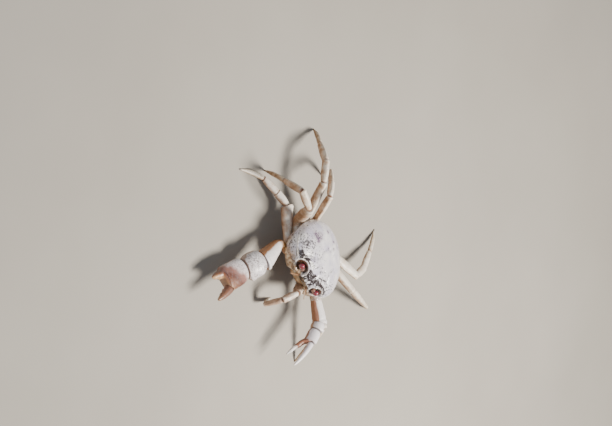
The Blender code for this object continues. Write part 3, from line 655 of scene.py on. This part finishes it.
def add_spines(bm, centre, section, broad_way, first, last, count, rows, tall):
    """Short cones in rows along a dactyl."""
    for row in range(rows):
        turn = 2 * pi * (row + 0.5) / rows
        for step in range(count):
            t = first + (last - first) * (step + 0.3 * (row % 2)) / count
            run = (centre(t + 0.01) - centre(t - 0.01)).normalized()
            broad = (broad_way - run * run.dot(broad_way)).normalized()
            breadth, thickness = section(t)
            out = broad * (cos(turn) * breadth) + run.cross(broad) * (sin(turn) * thickness)
            way = (out.normalized() + run * 0.9).normalized()
            spine_height = tall * (1 - 0.5 * t)
            spin = way.to_track_quat("Z", "Y").to_matrix().to_4x4()
            base = Matrix.Translation(centre(t) + out * 0.9 + way * spine_height * 0.35) @ spin
            made = bmesh.ops.create_cone(
                bm, cap_ends=True, segments=5, radius1=0.22, radius2=0.04, depth=spine_height, matrix=base
            )
            along_layer = bm.verts.layers.float["along"]
            for vert in made["verts"]:
                vert[along_layer] = 0.9


for side in SIDES:
    for number in LEG_LENGTHS:
        points, hip_way, ways, uppers = leg_course(side, number)
        hip, knee_start, knee = points[:3]
        bulk = LEG_BULK[number]
        seed = number * 7 + SIDES[side] * 31
        spare = reach(ways[0], ways[1], MERUS_SECTION[-1][0] * 0.7)
        merus_section = CLUBBED_MERUS if (side, number) == ("right", 1) else MERUS_SECTION
        merus = limb_form(
            bent_line(hip - hip_way * 0.6, knee_start, knee + ways[0] * spare, 5.0),
            uppers[0],
            article_section(merus_section, bulk, 0.06, 0.75, 0.05, 0.05),
            LEG_SIDES,
            70,
            leg_relief(seed, 0.10, 0.03),
        )
        trim(merus, knee - mitre(ways[0], ways[1]) * JOINT_GAP, mitre(ways[0], ways[1]))
        label = f"leg_{side}_{number}"
        # the front pair takes the copy of the cuticle painted in shade
        horn = front_leg_shade_cuticle if number == 1 else article_cuticle
        finish_piece(f"{label}_upper", merus, horn, [f"{label}_merus"])
        for step, (word, sections) in enumerate(
            (("carpus", CARPUS_SECTION), ("propodus", PROPODUS_SECTION), ("dactyl", DACTYL_SECTION)), start=1
        ):
            start, end = points[step + 1], points[step + 2]
            way, upper = ways[step], uppers[step]
            last = word == "dactyl"
            forth = 0.5 if last else reach(way, ways[step + 1], sections[-1][0] * 0.7)
            a, b = start - way * ARTICLE_START, end + way * forth
            bow = DACTYL_BOW if last else 0.0

            def centre(t, a=a, b=b, upper=upper, bow=bow):
                return a.lerp(b, t) + upper * (bow * sin(pi * t))

            section = article_section(sections, bulk, 0.1, 0.8, 0.3, 0.0 if last else 0.06)
            form = limb_form(
                centre, upper, section, LEG_SIDES, 44, leg_relief(seed + step, 0.04 if last else 0.09, 0.035)
            )
            if last:
                add_spines(form, centre, section, upper, 0.16, 0.88, 12, 6, 1.15)
                trim(form, FLOOR_POINT, -FLOOR_UP)
            else:
                after = mitre(way, ways[step + 1])
                trim(form, end - after * JOINT_GAP, after)
            material = dactyl_cuticle if last else horn
            finish_piece(f"{label}_{word}_shell", form, material, [f"{label}_{word}"])

# ---------------------------------------------------------------- claw legs
# Two claw legs of unlike size. Arm, wrist and hand are stout blocks of horn; the hand ends in a fixed
# finger and carries a second finger hinged at its far corner. The biting edges have blunt teeth.

# The side that the moving finger is on, and half breadth and half thickness of wrist and palm. A fixed
# finger has a length, an offset, a half breadth at its root, a lean in degrees and a curve, and a moving
# finger the same.
CLAW_FINGER_SIDE = {"right": (0.78, -0.52, 0.36), "left": (0.34, 0.31, 0.89)}
CLAW_WRIST = {"right": (11.6, 9.0), "left": (6.6, 5.6)}
CLAW_PALM = {"right": (12.4, 7.4), "left": (6.2, 4.6)}
FIXED_FINGER = {"right": (12.5, -4.2, 4.3, -8.0, -1.2), "left": (22.5, -2.9, 2.9, -28.5, -2.4)}
MOVING_FINGER = {"right": (20.0, 9.6, 3.9, 24.0, -2.6), "left": (31.0, 2.2, 2.9, 5.0, -6.4)}
FINGER_STOUTNESS = {"right": 1.12, "left": 1.0}
PALM_SHOULDER = 0.24
CLAW_SIDES = 48


def square_to(way, towards):
    """The direction square to way that lies nearest to towards."""
    return (towards - way * way.dot(towards)).normalized()


def tooth_row(t, first, last, count, tall):
    """Height of a row of blunt teeth between two places along an edge."""
    if not first < t < last:
        return 0.0
    return tall * max(0.0, sin(pi * count * (t - first) / (last - first))) ** 2


def grained(form, seed, rough):
    """Adds a low grain to a relief function."""

    def swell(t, angle):
        spot = Vector((t * 7 + seed, cos(angle) * 1.8, sin(angle) * 1.8))
        return form(t, angle) + rough * noise.noise(spot * 2.5) + rough * 0.5 * noise.noise(spot * 9)

    return swell


# Claw cuticle, the thickest on the animal and polished by use: white, flushing pink to red-brown towards
# the fingers. The stops run from joint to joint, slanted across the width. The low colour takes over
# where each named value falls below its level, and the neck colour darkens the joint. That low colour,
# on faces turned from the animal's back and on the side of the breadth named, is partly the horn's own
# darker underside and partly painted shade.
def claw_cuticle(
    name,
    stops,
    low,
    neck,
    freckles,
    low_amount=0.7,
    neck_end=0.03,
    undersides_and_shade=(("upper", 0.27),),
    slant=0.0,
    mottle=0.0,
):
    material, tree, shader = start_material(name, 0.4, 0.3)
    place = add(tree, "TexCoord", out="Object")
    along = add(tree, "Attribute", out="Fac", attribute_name="along")
    broad = add(tree, "Attribute", out="Fac", attribute_name="broad")
    # patches about 8 mm across move the edges of the colours by up to a seventh of the length
    patches = add(tree, "TexNoise", {"Vector": place, "Scale": 130.0, "Detail": 5.0})
    shift = add(tree, "Math", {0: patches, 1: 0.3, 2: along}, operation="MULTIPLY_ADD")
    shift = add(tree, "Math", {0: shift, 1: 0.15}, operation="SUBTRACT")
    shift = add(tree, "Math", {0: broad, 1: slant, 2: shift}, operation="MULTIPLY_ADD")
    colour = add(tree, "ValToRGB", {"Fac": shift}, stops=stops)
    # grey blots about 2.4 mm across
    blots = add(tree, "TexNoise", {"Vector": place, "Scale": 420.0, "Detail": 3.0, "Distortion": 1.2})
    blot = add(tree, "MapRange", {"Value": blots, "From Min": 0.5, "From Max": 0.62})
    blot = add(tree, "Math", {0: blot, 1: mottle}, operation="MULTIPLY")
    colour = add(tree, "Mix", {0: blot, 6: colour, 7: "84797A"}, 2, data_type="RGBA")
    # brown dots about 2 mm apart, crowded in the patches
    dots = add(tree, "TexVoronoi", {"Vector": place, "Scale": 520.0})
    dot_reach = add(tree, "Math", {0: patches, 1: 0.5}, operation="MULTIPLY")
    colour = freckled(tree, colour, dot_reach, dots, (-0.05, 0.08), freckles, "6E605E")
    # the low colour on faces turned from the animal's back and on one side of the breadth is partly the
    # horn's own darker underside and partly painted shade
    for attribute, level in undersides_and_shade:
        value = add(tree, "Attribute", out="Fac", attribute_name=attribute)
        value = add(tree, "Math", {0: patches, 1: 0.6, 2: value}, operation="MULTIPLY_ADD")
        below = add(tree, "MapRange", {"Value": value, "From Min": level + 0.1, "From Max": level - 0.1})
        below = add(tree, "Math", {0: below, 1: low_amount}, operation="MULTIPLY")
        colour = add(tree, "Mix", {0: below, 6: colour, 7: low}, 2, data_type="RGBA")
    at_neck = add(tree, "MapRange", {"Value": along, "From Min": neck_end + 0.05, "From Max": neck_end})
    colour = add(tree, "Mix", {0: at_neck, 6: colour, 7: neck}, 2, data_type="RGBA")
    # a grain of about 0.9 mm
    grain = add(tree, "TexNoise", {"Vector": place, "Scale": 1100.0, "Detail": 3.0})
    finish_material(tree, shader, colour, grain, 0.25, 0.3)
    return material


# The arms are chalk white above and burnt ochre below and along one side, the ochre partly their own
# colour and partly painted shade; the wrists are white with a brown far rim, peppered grey on the large
# claw. The large hand and its finger flush pink to brown; the small hand has one brown band across the
# root of its fixed finger, a painted shadow of the palm and the moving finger.
ARM_STOPS = ((0.0, "A06A38"), (0.34, "B4824C"), (0.46, "E6E0DE"), (1.0, "ECE8E8"))
WRIST_STOPS = {
    "right": ((0.0, "DAD6DA"), (0.5, "EAE6E8"), (0.86, "DCD4D2"), (0.97, "6A4630")),
    "left": ((0.0, "DAD6DA"), (0.5, "ECE8EA"), (0.88, "DCD4D2"), (0.99, "6A4630")),
}
HAND_STOPS = {
    "right": (
        (0.0, "E8E4E8"), (0.25, "DDD0D0"), (0.38, "9E7166"), (0.55, "643C31"), (0.80, "8C5A3C"),
        (1.0, "CFA474"),
    ),
    # the brown band across the root of the small fixed finger is a painted shadow of the palm and the moving
    # finger
    "left": (
        (0.0, "EAE6EA"), (0.38, "E8E2E6"), (0.45, "8E5C46"), (0.66, "96624A"), (0.73, "EAE4E0"),
        (1.0, "F0ECE6"),
    ),
}
FINGER_STOPS = {
    "right": ((0.0, "875A4C"), (0.4, "94685A"), (0.8, "A67C60"), (1.0, "C9A47E")),
    "left": ((0.0, "D9D2DA"), (0.4, "E8E2E6"), (1.0, "F0ECEA")),
}
# In each claw cuticle below, the low colour is partly the horn's own darker underside and partly painted
# shade
arm_cuticle = {
    "right": claw_cuticle(
        "calcified_arm_cuticle", ARM_STOPS, "97602F", "3A2216", 0.25, 0.95,
        undersides_and_shade=(("upper", 0.5), ("broad", -0.15)),
    ),
    "left": claw_cuticle(
        "calcified_small_arm_cuticle", ARM_STOPS, "8C5224", "3A2216", 0.2, 0.95,
        undersides_and_shade=(("upper", 0.5), ("broad", 0.42)),
    ),
}
wrist_cuticle = {
    "right": claw_cuticle(
        "calcified_wrist_cuticle", WRIST_STOPS["right"], "8A6A54", "3A2216", 0.7, 0.8, 0.13,
        (("upper", 0.48),), mottle=0.65,
    ),
    "left": claw_cuticle(
        "calcified_small_wrist_cuticle", WRIST_STOPS["left"], "9A6E48", "4A2C1A", 0.3, 0.8, 0.13,
        (("upper", 0.27), ("broad", -0.2)), mottle=0.15,
    ),
}
hand_cuticle = {
    "right": claw_cuticle(
        "polished_hand_cuticle", HAND_STOPS["right"], "7A4E38", "3A2216", 0.6, 0.75, 0.01,
        (("upper", 0.34),), slant=0.26, mottle=0.4,
    ),
    "left": claw_cuticle(
        "polished_small_hand_cuticle", HAND_STOPS["left"], "8A5636", "3A2216", 0.15, 0.85, 0.01,
        (("upper", 0.2), ("broad", -0.22)),
    ),
}
finger_cuticle = {
    "right": claw_cuticle(
        "polished_finger_cuticle", FINGER_STOPS["right"], "744C38", "3A2216", 0.6, neck_end=0.09,
        mottle=0.4,
    ),
    "left": claw_cuticle(
        "polished_small_finger_cuticle", FINGER_STOPS["left"], "C8A898", "2E2018", 0.1, neck_end=0.11
    ),
}

for side in SIDES:
    points, ways = claw_course(side)
    hip, elbow_start, elbow, wrist = points[:4]
    finger_side = Vector(CLAW_FINGER_SIDE[side])
    large = side == "right"
    seed = 50 if large else 80
    thin, wide = CLAW_ARM[side]
    bend = (elbow_start - hip).length / (elbow - hip).length * 0.72

    def arm_section(t):
        part = max(0.0, (t - bend) / (1 - bend))
        girth = thin + (wide - thin) * min(1.0, part / 0.8) ** 0.8
        girth *= 1 + 0.07 * dot_of(part, 0.9, 0.035) - 0.05 * dot_of(part, 0.82, 0.03)
        return girth, thin + (girth - thin) * 0.66

    def arm_relief(t, angle):
        # three long edges
        return 1.0 + 0.08 * max(0.0, cos(1.5 * angle)) ** 4 * smooth(t, bend, bend + 0.15)

    merus = limb_form(
        bent_line(hip - ways[0] * 0.6, elbow_start, elbow + ways[1] * 2.5, 5.0),
        square_to(ways[1], finger_side),
        arm_section,
        CLAW_SIDES,
        70,
        grained(arm_relief, seed, 0.03),
    )
    trim(merus, elbow - mitre(ways[1], ways[2]) * JOINT_GAP, mitre(ways[1], ways[2]))
    finish_piece(f"claw_{side}_arm", merus, arm_cuticle[side], [f"claw_{side}_merus"])

    half, thick = CLAW_WRIST[side]
    start, end = elbow - ways[2] * half * 0.35, wrist + ways[2] * half * 0.3

    def wrist_section(t):
        girth = end_rounding(t, 0.5, 0.3 if large else 0.5) * (1 - 0.2 * (1 - smooth(t, 0.12, 0.3)))
        girth *= 1.06 if large else 1.0
        return half * girth, thick * girth

    def wrist_relief(t, angle):
        return 1.0 + 0.2 * exp(-(((t - 0.74) / 0.13) ** 2) - (angle / 0.4) ** 2)

    carpus = limb_form(
        lambda t: start.lerp(end, t), square_to(ways[2], finger_side), wrist_section, CLAW_SIDES, 60,
        grained(wrist_relief, seed + 5, 0.02),
    )
    trim(carpus, elbow + mitre(ways[1], ways[2]) * 0.1, -mitre(ways[1], ways[2]))
    trim(carpus, wrist - mitre(ways[2], ways[3]) * JOINT_GAP, mitre(ways[2], ways[3]))
    finish_piece(f"claw_{side}_wrist", carpus, wrist_cuticle[side], [f"claw_{side}_carpus"])

    way = ways[3]
    across = square_to(way, finger_side)
    half, thick = CLAW_PALM[side]
    palm_length = CLAW_LENGTHS[side][3]
    fixed_length, fixed_root, fixed_half, fixed_lean, fixed_curve = FIXED_FINGER[side]
    length, root, root_half, lean, curve = MOVING_FINGER[side]
    whole = palm_length + fixed_length
    palm_end = palm_length / whole

    def hand_section(t):
        if t < palm_end:
            part = t / palm_end
            swell = sin(pi / 2 * min(1.0, 0.35 + part / 0.8))
            round_in = 1 - 0.3 * (1 - smooth(part, 0.0, 0.12))
            return (
                half * (0.55 + 0.45 * swell) * round_in,
                thick * (0.7 + 0.3 * sin(pi * min(1.0, 0.2 + part * 0.6))) * round_in,
            )
        part = (t - palm_end) / (1 - palm_end)
        taper = fixed_half * (1 - part) ** 0.55 + 0.35
        drop = smooth(1 - part / PALM_SHOULDER, 0, 1)
        return taper + (half - taper) * drop, max(0.45, thick * 0.78 * (1 - part) ** 0.6)

    def hand_middle(t):
        if t < palm_end:
            return wrist + way * (whole * t) + across * (half * 0.12 * t / palm_end)
        part = (t - palm_end) / (1 - palm_end)
        slide = smooth(part / PALM_SHOULDER, 0, 1)
        offset = half * 0.12 * (1 - slide) + fixed_root * slide
        offset += tan(radians(fixed_lean)) * fixed_length * part - fixed_curve * part * part
        return wrist + way * (whole * t) + across * offset

    def hand_relief(t, angle):
        part = (t - palm_end) / (1 - palm_end)
        return 1.0 + tooth_row(part, 0.35, 0.92, 3, 0.25) * max(0.0, cos(angle)) ** 3

    hand = limb_form(
        hand_middle, across, hand_section, CLAW_SIDES, 110, grained(hand_relief, seed + 9, 0.015), way
    )
    trim(hand, wrist - mitre(ways[2], way) * 0.6, -mitre(ways[2], way))
    finish_piece(f"claw_{side}_palm", hand, hand_cuticle[side], [f"claw_{side}_hand"])

    hinge = wrist + way * (palm_length - root_half * 0.5) + across * root
    lean = radians(lean)
    open_way = way * cos(lean) + across * sin(lean)
    open_side = across * cos(lean) - way * sin(lean)

    def finger_section(t):
        girth = 0.1 + FINGER_STOUTNESS[side] * (1 - t) ** 0.5
        girth *= end_rounding(t, 0.2, 0.8) if t < 0.5 else 1.0
        return root_half * girth, min(thick * 0.7, root_half) * girth

    def finger_relief(t, angle):
        return 1.0 + tooth_row(t, 0.32, 0.9, 4, 0.2) * max(0.0, -cos(angle)) ** 3

    finger = limb_form(
        lambda t: hinge + open_way * (length * t) + open_side * (curve * t * t),
        open_side,
        finger_section,
        CLAW_SIDES,
        80,
        grained(finger_relief, seed + 13, 0.02),
    )
    finish_piece(f"claw_{side}_finger", finger, finger_cuticle[side], [f"claw_{side}_dactyl"])

# ---------------------------------------------------------------- eyes
# Two stalked eyes that lie sideways in their cups: a short horny stalk, and on its outer end a round
# cornea of fine facets, dark red.

STALK_FOOT = Vector((12.8, -29.8, -0.2))
STALK_HEAD = Vector((15.6, -29.9, 0.9))
STALK_RADIUS = 2.2
CORNEA_CENTRE = Vector((18.3, -30.1, 1.6))
CORNEA_RADII = (2.9, 2.6, 2.9)

# Cornea: clear hard facets over red pigment, wet gloss
cornea, tree, shader = start_material("faceted_cornea", 0.16, 0.8)
place = add(tree, "TexCoord", out="Object")
# facets about 0.15 mm across, drawn at 0.3 mm so that they show
facets = add(tree, "TexVoronoi", {"Vector": place, "Scale": 3300.0})
pigment = add(tree, "ValToRGB", {"Fac": facets}, stops=((0.0, "A8404E"), (0.6, "6A1E2A")))
finish_material(tree, shader, pigment, facets, 0.15, 0.1)

# Stalk cuticle: thin, dull plum brown, paler towards the eye, darker underneath, partly as painted shade
stalk_horn = claw_cuticle(
    "eyestalk_horn", ((0.0, "6A4838"), (0.5, "8C6658"), (1.0, "A07C70")), "6E4A38", "5A3828", 0.5
)

for side, sign in SIDES.items():
    foot, head, middle = (Vector((sign * p.x, p.y, p.z)) for p in (STALK_FOOT, STALK_HEAD, CORNEA_CENTRE))
    stalk_way = (middle - foot).normalized()
    stalk = limb_form(
        lambda t: foot.lerp(head, t),
        stalk_way.cross(Vector((0, 1, 0))).normalized(),
        lambda t: [STALK_RADIUS * (0.85 + 0.25 * t) * end_rounding(t, 0.3, 0.6)] * 2,
        28,
        20,
    )
    finish_piece(f"eyestalk_{side}_horn", stalk, stalk_horn, [f"eyestalk_{side}"])
    eye = bmesh.new()
    bmesh.ops.create_icosphere(eye, subdivisions=5, radius=1)
    bmesh.ops.scale(eye, vec=CORNEA_RADII, verts=eye.verts)
    bmesh.ops.translate(eye, vec=middle, verts=eye.verts)
    finish_piece(f"eye_{side}_cornea", eye, cornea, [f"eye_{side}"], 80)

# ---------------------------------------------------------------- mouth and feelers
# Two broad mouth plates close the mouth frame like doors, each a flat palp with a long groove; beside
# them a short feeler of many rings stands out from under each eye.

MOUTH_HALF_WIDTH = 8.4
MOUTH_TOP = -7.0
MOUTH_BOTTOM = -17.5
MOUTH_FRONT = -26.0
MOUTH_LEAN = 24.0
PLATE_THICKNESS = 2.6
FEELER_ROOT = (9.6, -32.6, -4.6)
FEELER_WAY = (0.75, -0.5, -0.42)
FEELER_LENGTH = 11.0
FEELER_LIFT = 1.6
FEELER_RADIUS = 0.55

# Underside cuticle: thinner and duller than the back, ochre with paler middles
under_cuticle, tree, shader = start_material("thin_underside_cuticle", 0.55, 0.05)
place = add(tree, "TexCoord", out="Object")
# patches about 7 mm across and a grain of about 1 mm
patches = add(tree, "TexNoise", {"Vector": place, "Scale": 150.0, "Detail": 5.0})
ochre_stops = ((0.3, "7E552F"), (0.5, "AD8355"), (0.68, "CDB48F"))
ochre = add(tree, "ValToRGB", {"Fac": patches}, stops=ochre_stops)
grain = add(tree, "TexNoise", {"Vector": place, "Scale": 1000.0, "Detail": 3.0})
finish_material(tree, shader, ochre, grain, 0.35, 0.3)

for side, sign in SIDES.items():
    plate = bmesh.new()
    bmesh.ops.create_cube(plate, size=1)
    tall = MOUTH_TOP - MOUTH_BOTTOM - 1.0
    wide = MOUTH_HALF_WIDTH - 0.5
    bmesh.ops.scale(plate, vec=(wide, PLATE_THICKNESS, tall), verts=plate.verts)
    bmesh.ops.bevel(
        plate, geom=plate.edges[:], offset=0.9, segments=4, profile=0.5, affect="EDGES", material=-1
    )
    bmesh.ops.subdivide_edges(plate, edges=plate.edges[:], cuts=5, use_grid_fill=True)
    for vert in plate.verts:
        # a crowned face, a groove between palp and plate, and a joint across
        x, z = vert.co.x * sign, vert.co.z
        if vert.co.y < 0:
            crown = 0.9 * (1 - (x / wide * 1.9) ** 2) * (1 - (z / tall * 1.8) ** 2)
            groove = 0.5 * dot_of(x, 1.6, 0.35) + 0.45 * dot_of(z, 0.8 + 0.3 * x, 0.35)
            vert.co.y -= max(0.0, crown) * 0.8 - groove
    bmesh.ops.rotate(
        plate, cent=(0, 0, 0), matrix=Matrix.Rotation(radians(MOUTH_LEAN), 3, "X"), verts=plate.verts
    )
    plate_place = (sign * (wide / 2 + 0.2), MOUTH_FRONT + 0.4, (MOUTH_TOP + MOUTH_BOTTOM) / 2)
    bmesh.ops.translate(plate, vec=plate_place, verts=plate.verts)
    finish_piece(f"mouth_plate_{side}_horn", plate, under_cuticle, [f"mouth_plate_{side}"])

    feeler_root = Vector((sign * FEELER_ROOT[0], *FEELER_ROOT[1:]))
    lean_out = Vector((sign * FEELER_WAY[0], *FEELER_WAY[1:])).normalized()
    feeler = limb_form(
        lambda t: feeler_root + lean_out * (FEELER_LENGTH * t) + Vector((0, 0, FEELER_LIFT * t * t)),
        lean_out.cross(Vector((0, 0, 1))).normalized(),
        lambda t: [FEELER_RADIUS * (1.7 - 1.2 * t ** 0.5 if t < 0.4 else 1.0 - 0.3 * t)] * 2,
        12,
        60,
        lambda t, angle: 1.0 + 0.12 * sin(t * 120),
    )
    finish_piece(f"feeler_{side}", feeler, article_cuticle, [f"antenna_{side}"])

# ---------------------------------------------------------------- underbody
# The breast plate: fused rings of horn between the leg roots, each leg hinged on a short stub, and the
# tail flap of seven rings, hung behind it and folded forward under it.

CHEST_HALF_WIDTH = 16.5
CHEST_HALF_LENGTH = 23.0
CHEST_DEPTH = 10.0
CHEST_MIDDLE = Vector((0.0, 0.5, -10.9))
HIP_RADIUS = 3.8
HIP_OVERHANG = 2.5
HIP_ROOT = (0.45, 0.7, -15.0)
FLAP_ROOT = Vector((0, 30.0, -13.2))
FLAP_BEND = Vector((0, 25.0, -22.9))
FLAP_TIP = Vector((0, -4.0, -22.9))
FLAP_THICKNESS = 2.2
FLAP_BASE_HALF_WIDTH = 9.0
FLAP_TIP_HALF_WIDTH = 3.0

chest = bmesh.new()
bmesh.ops.create_icosphere(chest, subdivisions=6, radius=1)
for vert in chest.verts:
    rho = sqrt(max(0.0, 1 - vert.co.z ** 2))
    spread = rho ** 0.55 / rho if rho > 1e-6 else 0.0
    x = vert.co.x * CHEST_HALF_WIDTH * spread
    y = vert.co.y * CHEST_HALF_LENGTH * spread
    # seams between the fused rings, slanting back from the middle line
    seam = sum(dot_of(y + 0.25 * abs(x), at, 0.6) for at in (-13, -5, 4, 13)) * smooth(abs(x), 4, 7)
    z = vert.co.z * CHEST_DEPTH + 0.8 * seam * smooth(-vert.co.z, 0, 0.4)
    vert.co = Vector((x, y, z)) + CHEST_MIDDLE
trim(chest, Vector((0, 0, CHEST_MIDDLE.z)), Vector((0, 0, 1)))
for side in SIDES:
    claw_points, claw_ways = claw_course(side)
    hips = [leg_course(side, number)[:2] for number in LEG_LENGTHS] + [(claw_points, claw_ways[0])]
    for points, way in hips:
        point = points[0]
        root = Vector((point.x * HIP_ROOT[0], point.y * HIP_ROOT[1], HIP_ROOT[2]))
        stub_end = point + (point - root).normalized() * HIP_OVERHANG
        stub = limb_form(
            lambda t: root.lerp(stub_end, t),
            Vector((0, 0, 1)),
            lambda t: [HIP_RADIUS * (1 - 0.1 * t) * (1 + 0.08 * dot_of(t, 0.8, 0.06))] * 2,
            28,
            24,
        )
        trim(stub, point + way * 0.2, way)
        trim(stub, Vector((0, 0, CHEST_MIDDLE.z)), Vector((0, 0, 1)))
        stub_mesh = bpy.data.meshes.new("stub")
        stub.to_mesh(stub_mesh)
        stub.free()
        chest.from_mesh(stub_mesh)
        bpy.data.meshes.remove(stub_mesh)
finish_piece("breast_plate", chest, under_cuticle, ["underbody"])

# the tail flap hangs down behind the breast plate and folds forward under it
first = (FLAP_BEND - FLAP_ROOT).length
whole = first + (FLAP_TIP - FLAP_BEND).length
flap = bmesh.new()
bmesh.ops.create_grid(flap, x_segments=24, y_segments=90, size=0.5)
for vert in flap.verts:
    t = vert.co.y + 0.5
    run = t * whole
    spot = Vector((0, 0, 0))
    for shift in (-3.0, -1.5, 0, 1.5, 3.0):
        here = min(max(run + shift, 0), whole)
        if here < first:
            spot += FLAP_ROOT.lerp(FLAP_BEND, here / first) / 5
        else:
            spot += FLAP_BEND.lerp(FLAP_TIP, (here - first) / (whole - first)) / 5
    half = FLAP_BASE_HALF_WIDTH + (FLAP_TIP_HALF_WIDTH - FLAP_BASE_HALF_WIDTH) * t ** 0.8
    lean = max(0.0, min(1.0, (first + 3.0 - run) / 6.0))
    outward = Vector((0, lean, -1 + 0.5 * lean)).normalized()
    across = vert.co.x * 2
    # seven rings with a seam between each, crowned along the middle
    ring = 0.35 * abs(sin(pi * 6.5 * t)) ** 0.4
    level = FLAP_THICKNESS * (0.62 + 0.3 * (1 - across * across)) + ring - 0.35
    vert.co = Vector((half * across, 0, 0)) + spot + outward * level
bmesh.ops.recalc_face_normals(flap, faces=flap.faces)
bmesh.ops.solidify(flap, geom=flap.faces[:], thickness=1.2)
finish_piece("folded_tail", flap, under_cuticle, ["tail_flap"])

# ---------------------------------------------------------------- studio
# A pale matt paper floor, one broad soft light straight above and a weak wide one from the camera's
# side. A long lens looks down from the animal's front right, rolled by about a quarter turn.

floor_mesh = bmesh.new()
bmesh.ops.create_grid(floor_mesh, x_segments=1, y_segments=1, size=6.0)
floor_data = bpy.data.meshes.new("studio_floor")
floor_mesh.to_mesh(floor_data)
floor_mesh.free()
floor = bpy.data.objects.new("studio_floor", floor_data)
bpy.context.scene.collection.objects.link(floor)
# Uncoated paper: matt warm grey with faint clouds about 170 mm across
paper, tree, shader = start_material("matt_studio_paper", 0.9)
place = add(tree, "TexCoord", out="Object")
fibres = add(tree, "TexNoise", {"Vector": place, "Scale": 6.0, "Detail": 3.0})
paper_colour = add(tree, "ValToRGB", {"Fac": fibres}, stops=((0.3, "A19C93"), (0.7, "A8A39A")))
tree.links.new(paper_colour, shader.inputs["Base Color"])
floor_data.materials.append(paper)

CAMERA_AZIMUTH = 44.76
CAMERA_LIFT = 27.76
CAMERA_ROLL = 88.65
CAMERA_DISTANCE = 1600.0
CAMERA_SENSOR = 36.0
CAMERA_LENS = 100.94
VIEW_RIGHT_OF_SHELL = -10.6
VIEW_ABOVE_SHELL = 40.1
azimuth, lift, roll = (radians(a) for a in (CAMERA_AZIMUTH, CAMERA_LIFT, CAMERA_ROLL))
to_camera = Vector((-sin(azimuth) * cos(lift), -cos(azimuth) * cos(lift), sin(lift)))
level_right = Vector((0, 0, 1)).cross(to_camera).normalized()
level_up = to_camera.cross(level_right)
right = level_right * cos(roll) + level_up * sin(roll)
up = level_up * cos(roll) - level_right * sin(roll)
aim_point = right * VIEW_RIGHT_OF_SHELL + up * VIEW_ABOVE_SHELL
axes = Matrix((right, up, to_camera)).transposed()
camera_data = bpy.data.cameras.new("camera")
camera_data.sensor_width = CAMERA_SENSOR
camera_data.lens = CAMERA_LENS
camera_data.clip_end = 20.0
camera = bpy.data.objects.new("camera", camera_data)
bpy.context.scene.collection.objects.link(camera)
camera_place = STANCE @ ((aim_point + to_camera * CAMERA_DISTANCE) * MM)
camera.matrix_world = Matrix.Translation(camera_place) @ (STANCE.to_3x3() @ axes).to_4x4()
bpy.context.scene.camera = camera


def soft_light(name, place, size, power, colour):
    """A square softbox aimed at the model."""
    data = bpy.data.lights.new(name, "AREA")
    data.shape = "SQUARE"
    data.size = size
    data.energy = power
    data.color = linear(colour)[:3]
    lamp = bpy.data.objects.new(name, data)
    lamp.location = place
    lamp.rotation_euler = (Vector((0, 0, 0.02)) - Vector(place)).to_track_quat("-Z", "Y").to_euler()
    bpy.context.scene.collection.objects.link(lamp)


soft_light("overhead_softbox", (0.35, -0.05, 1.0), 0.32, 29.0, "FFF8EE")
soft_light("side_fill", (-0.9, -0.9, 0.5), 0.9, 4.5, "E8F0FF")
world = bpy.data.worlds.new("studio_air")
world.use_nodes = True
world.node_tree.nodes["Background"].inputs["Color"].default_value = linear("DDE2E8")
world.node_tree.nodes["Background"].inputs["Strength"].default_value = 0.3
bpy.context.scene.world = world
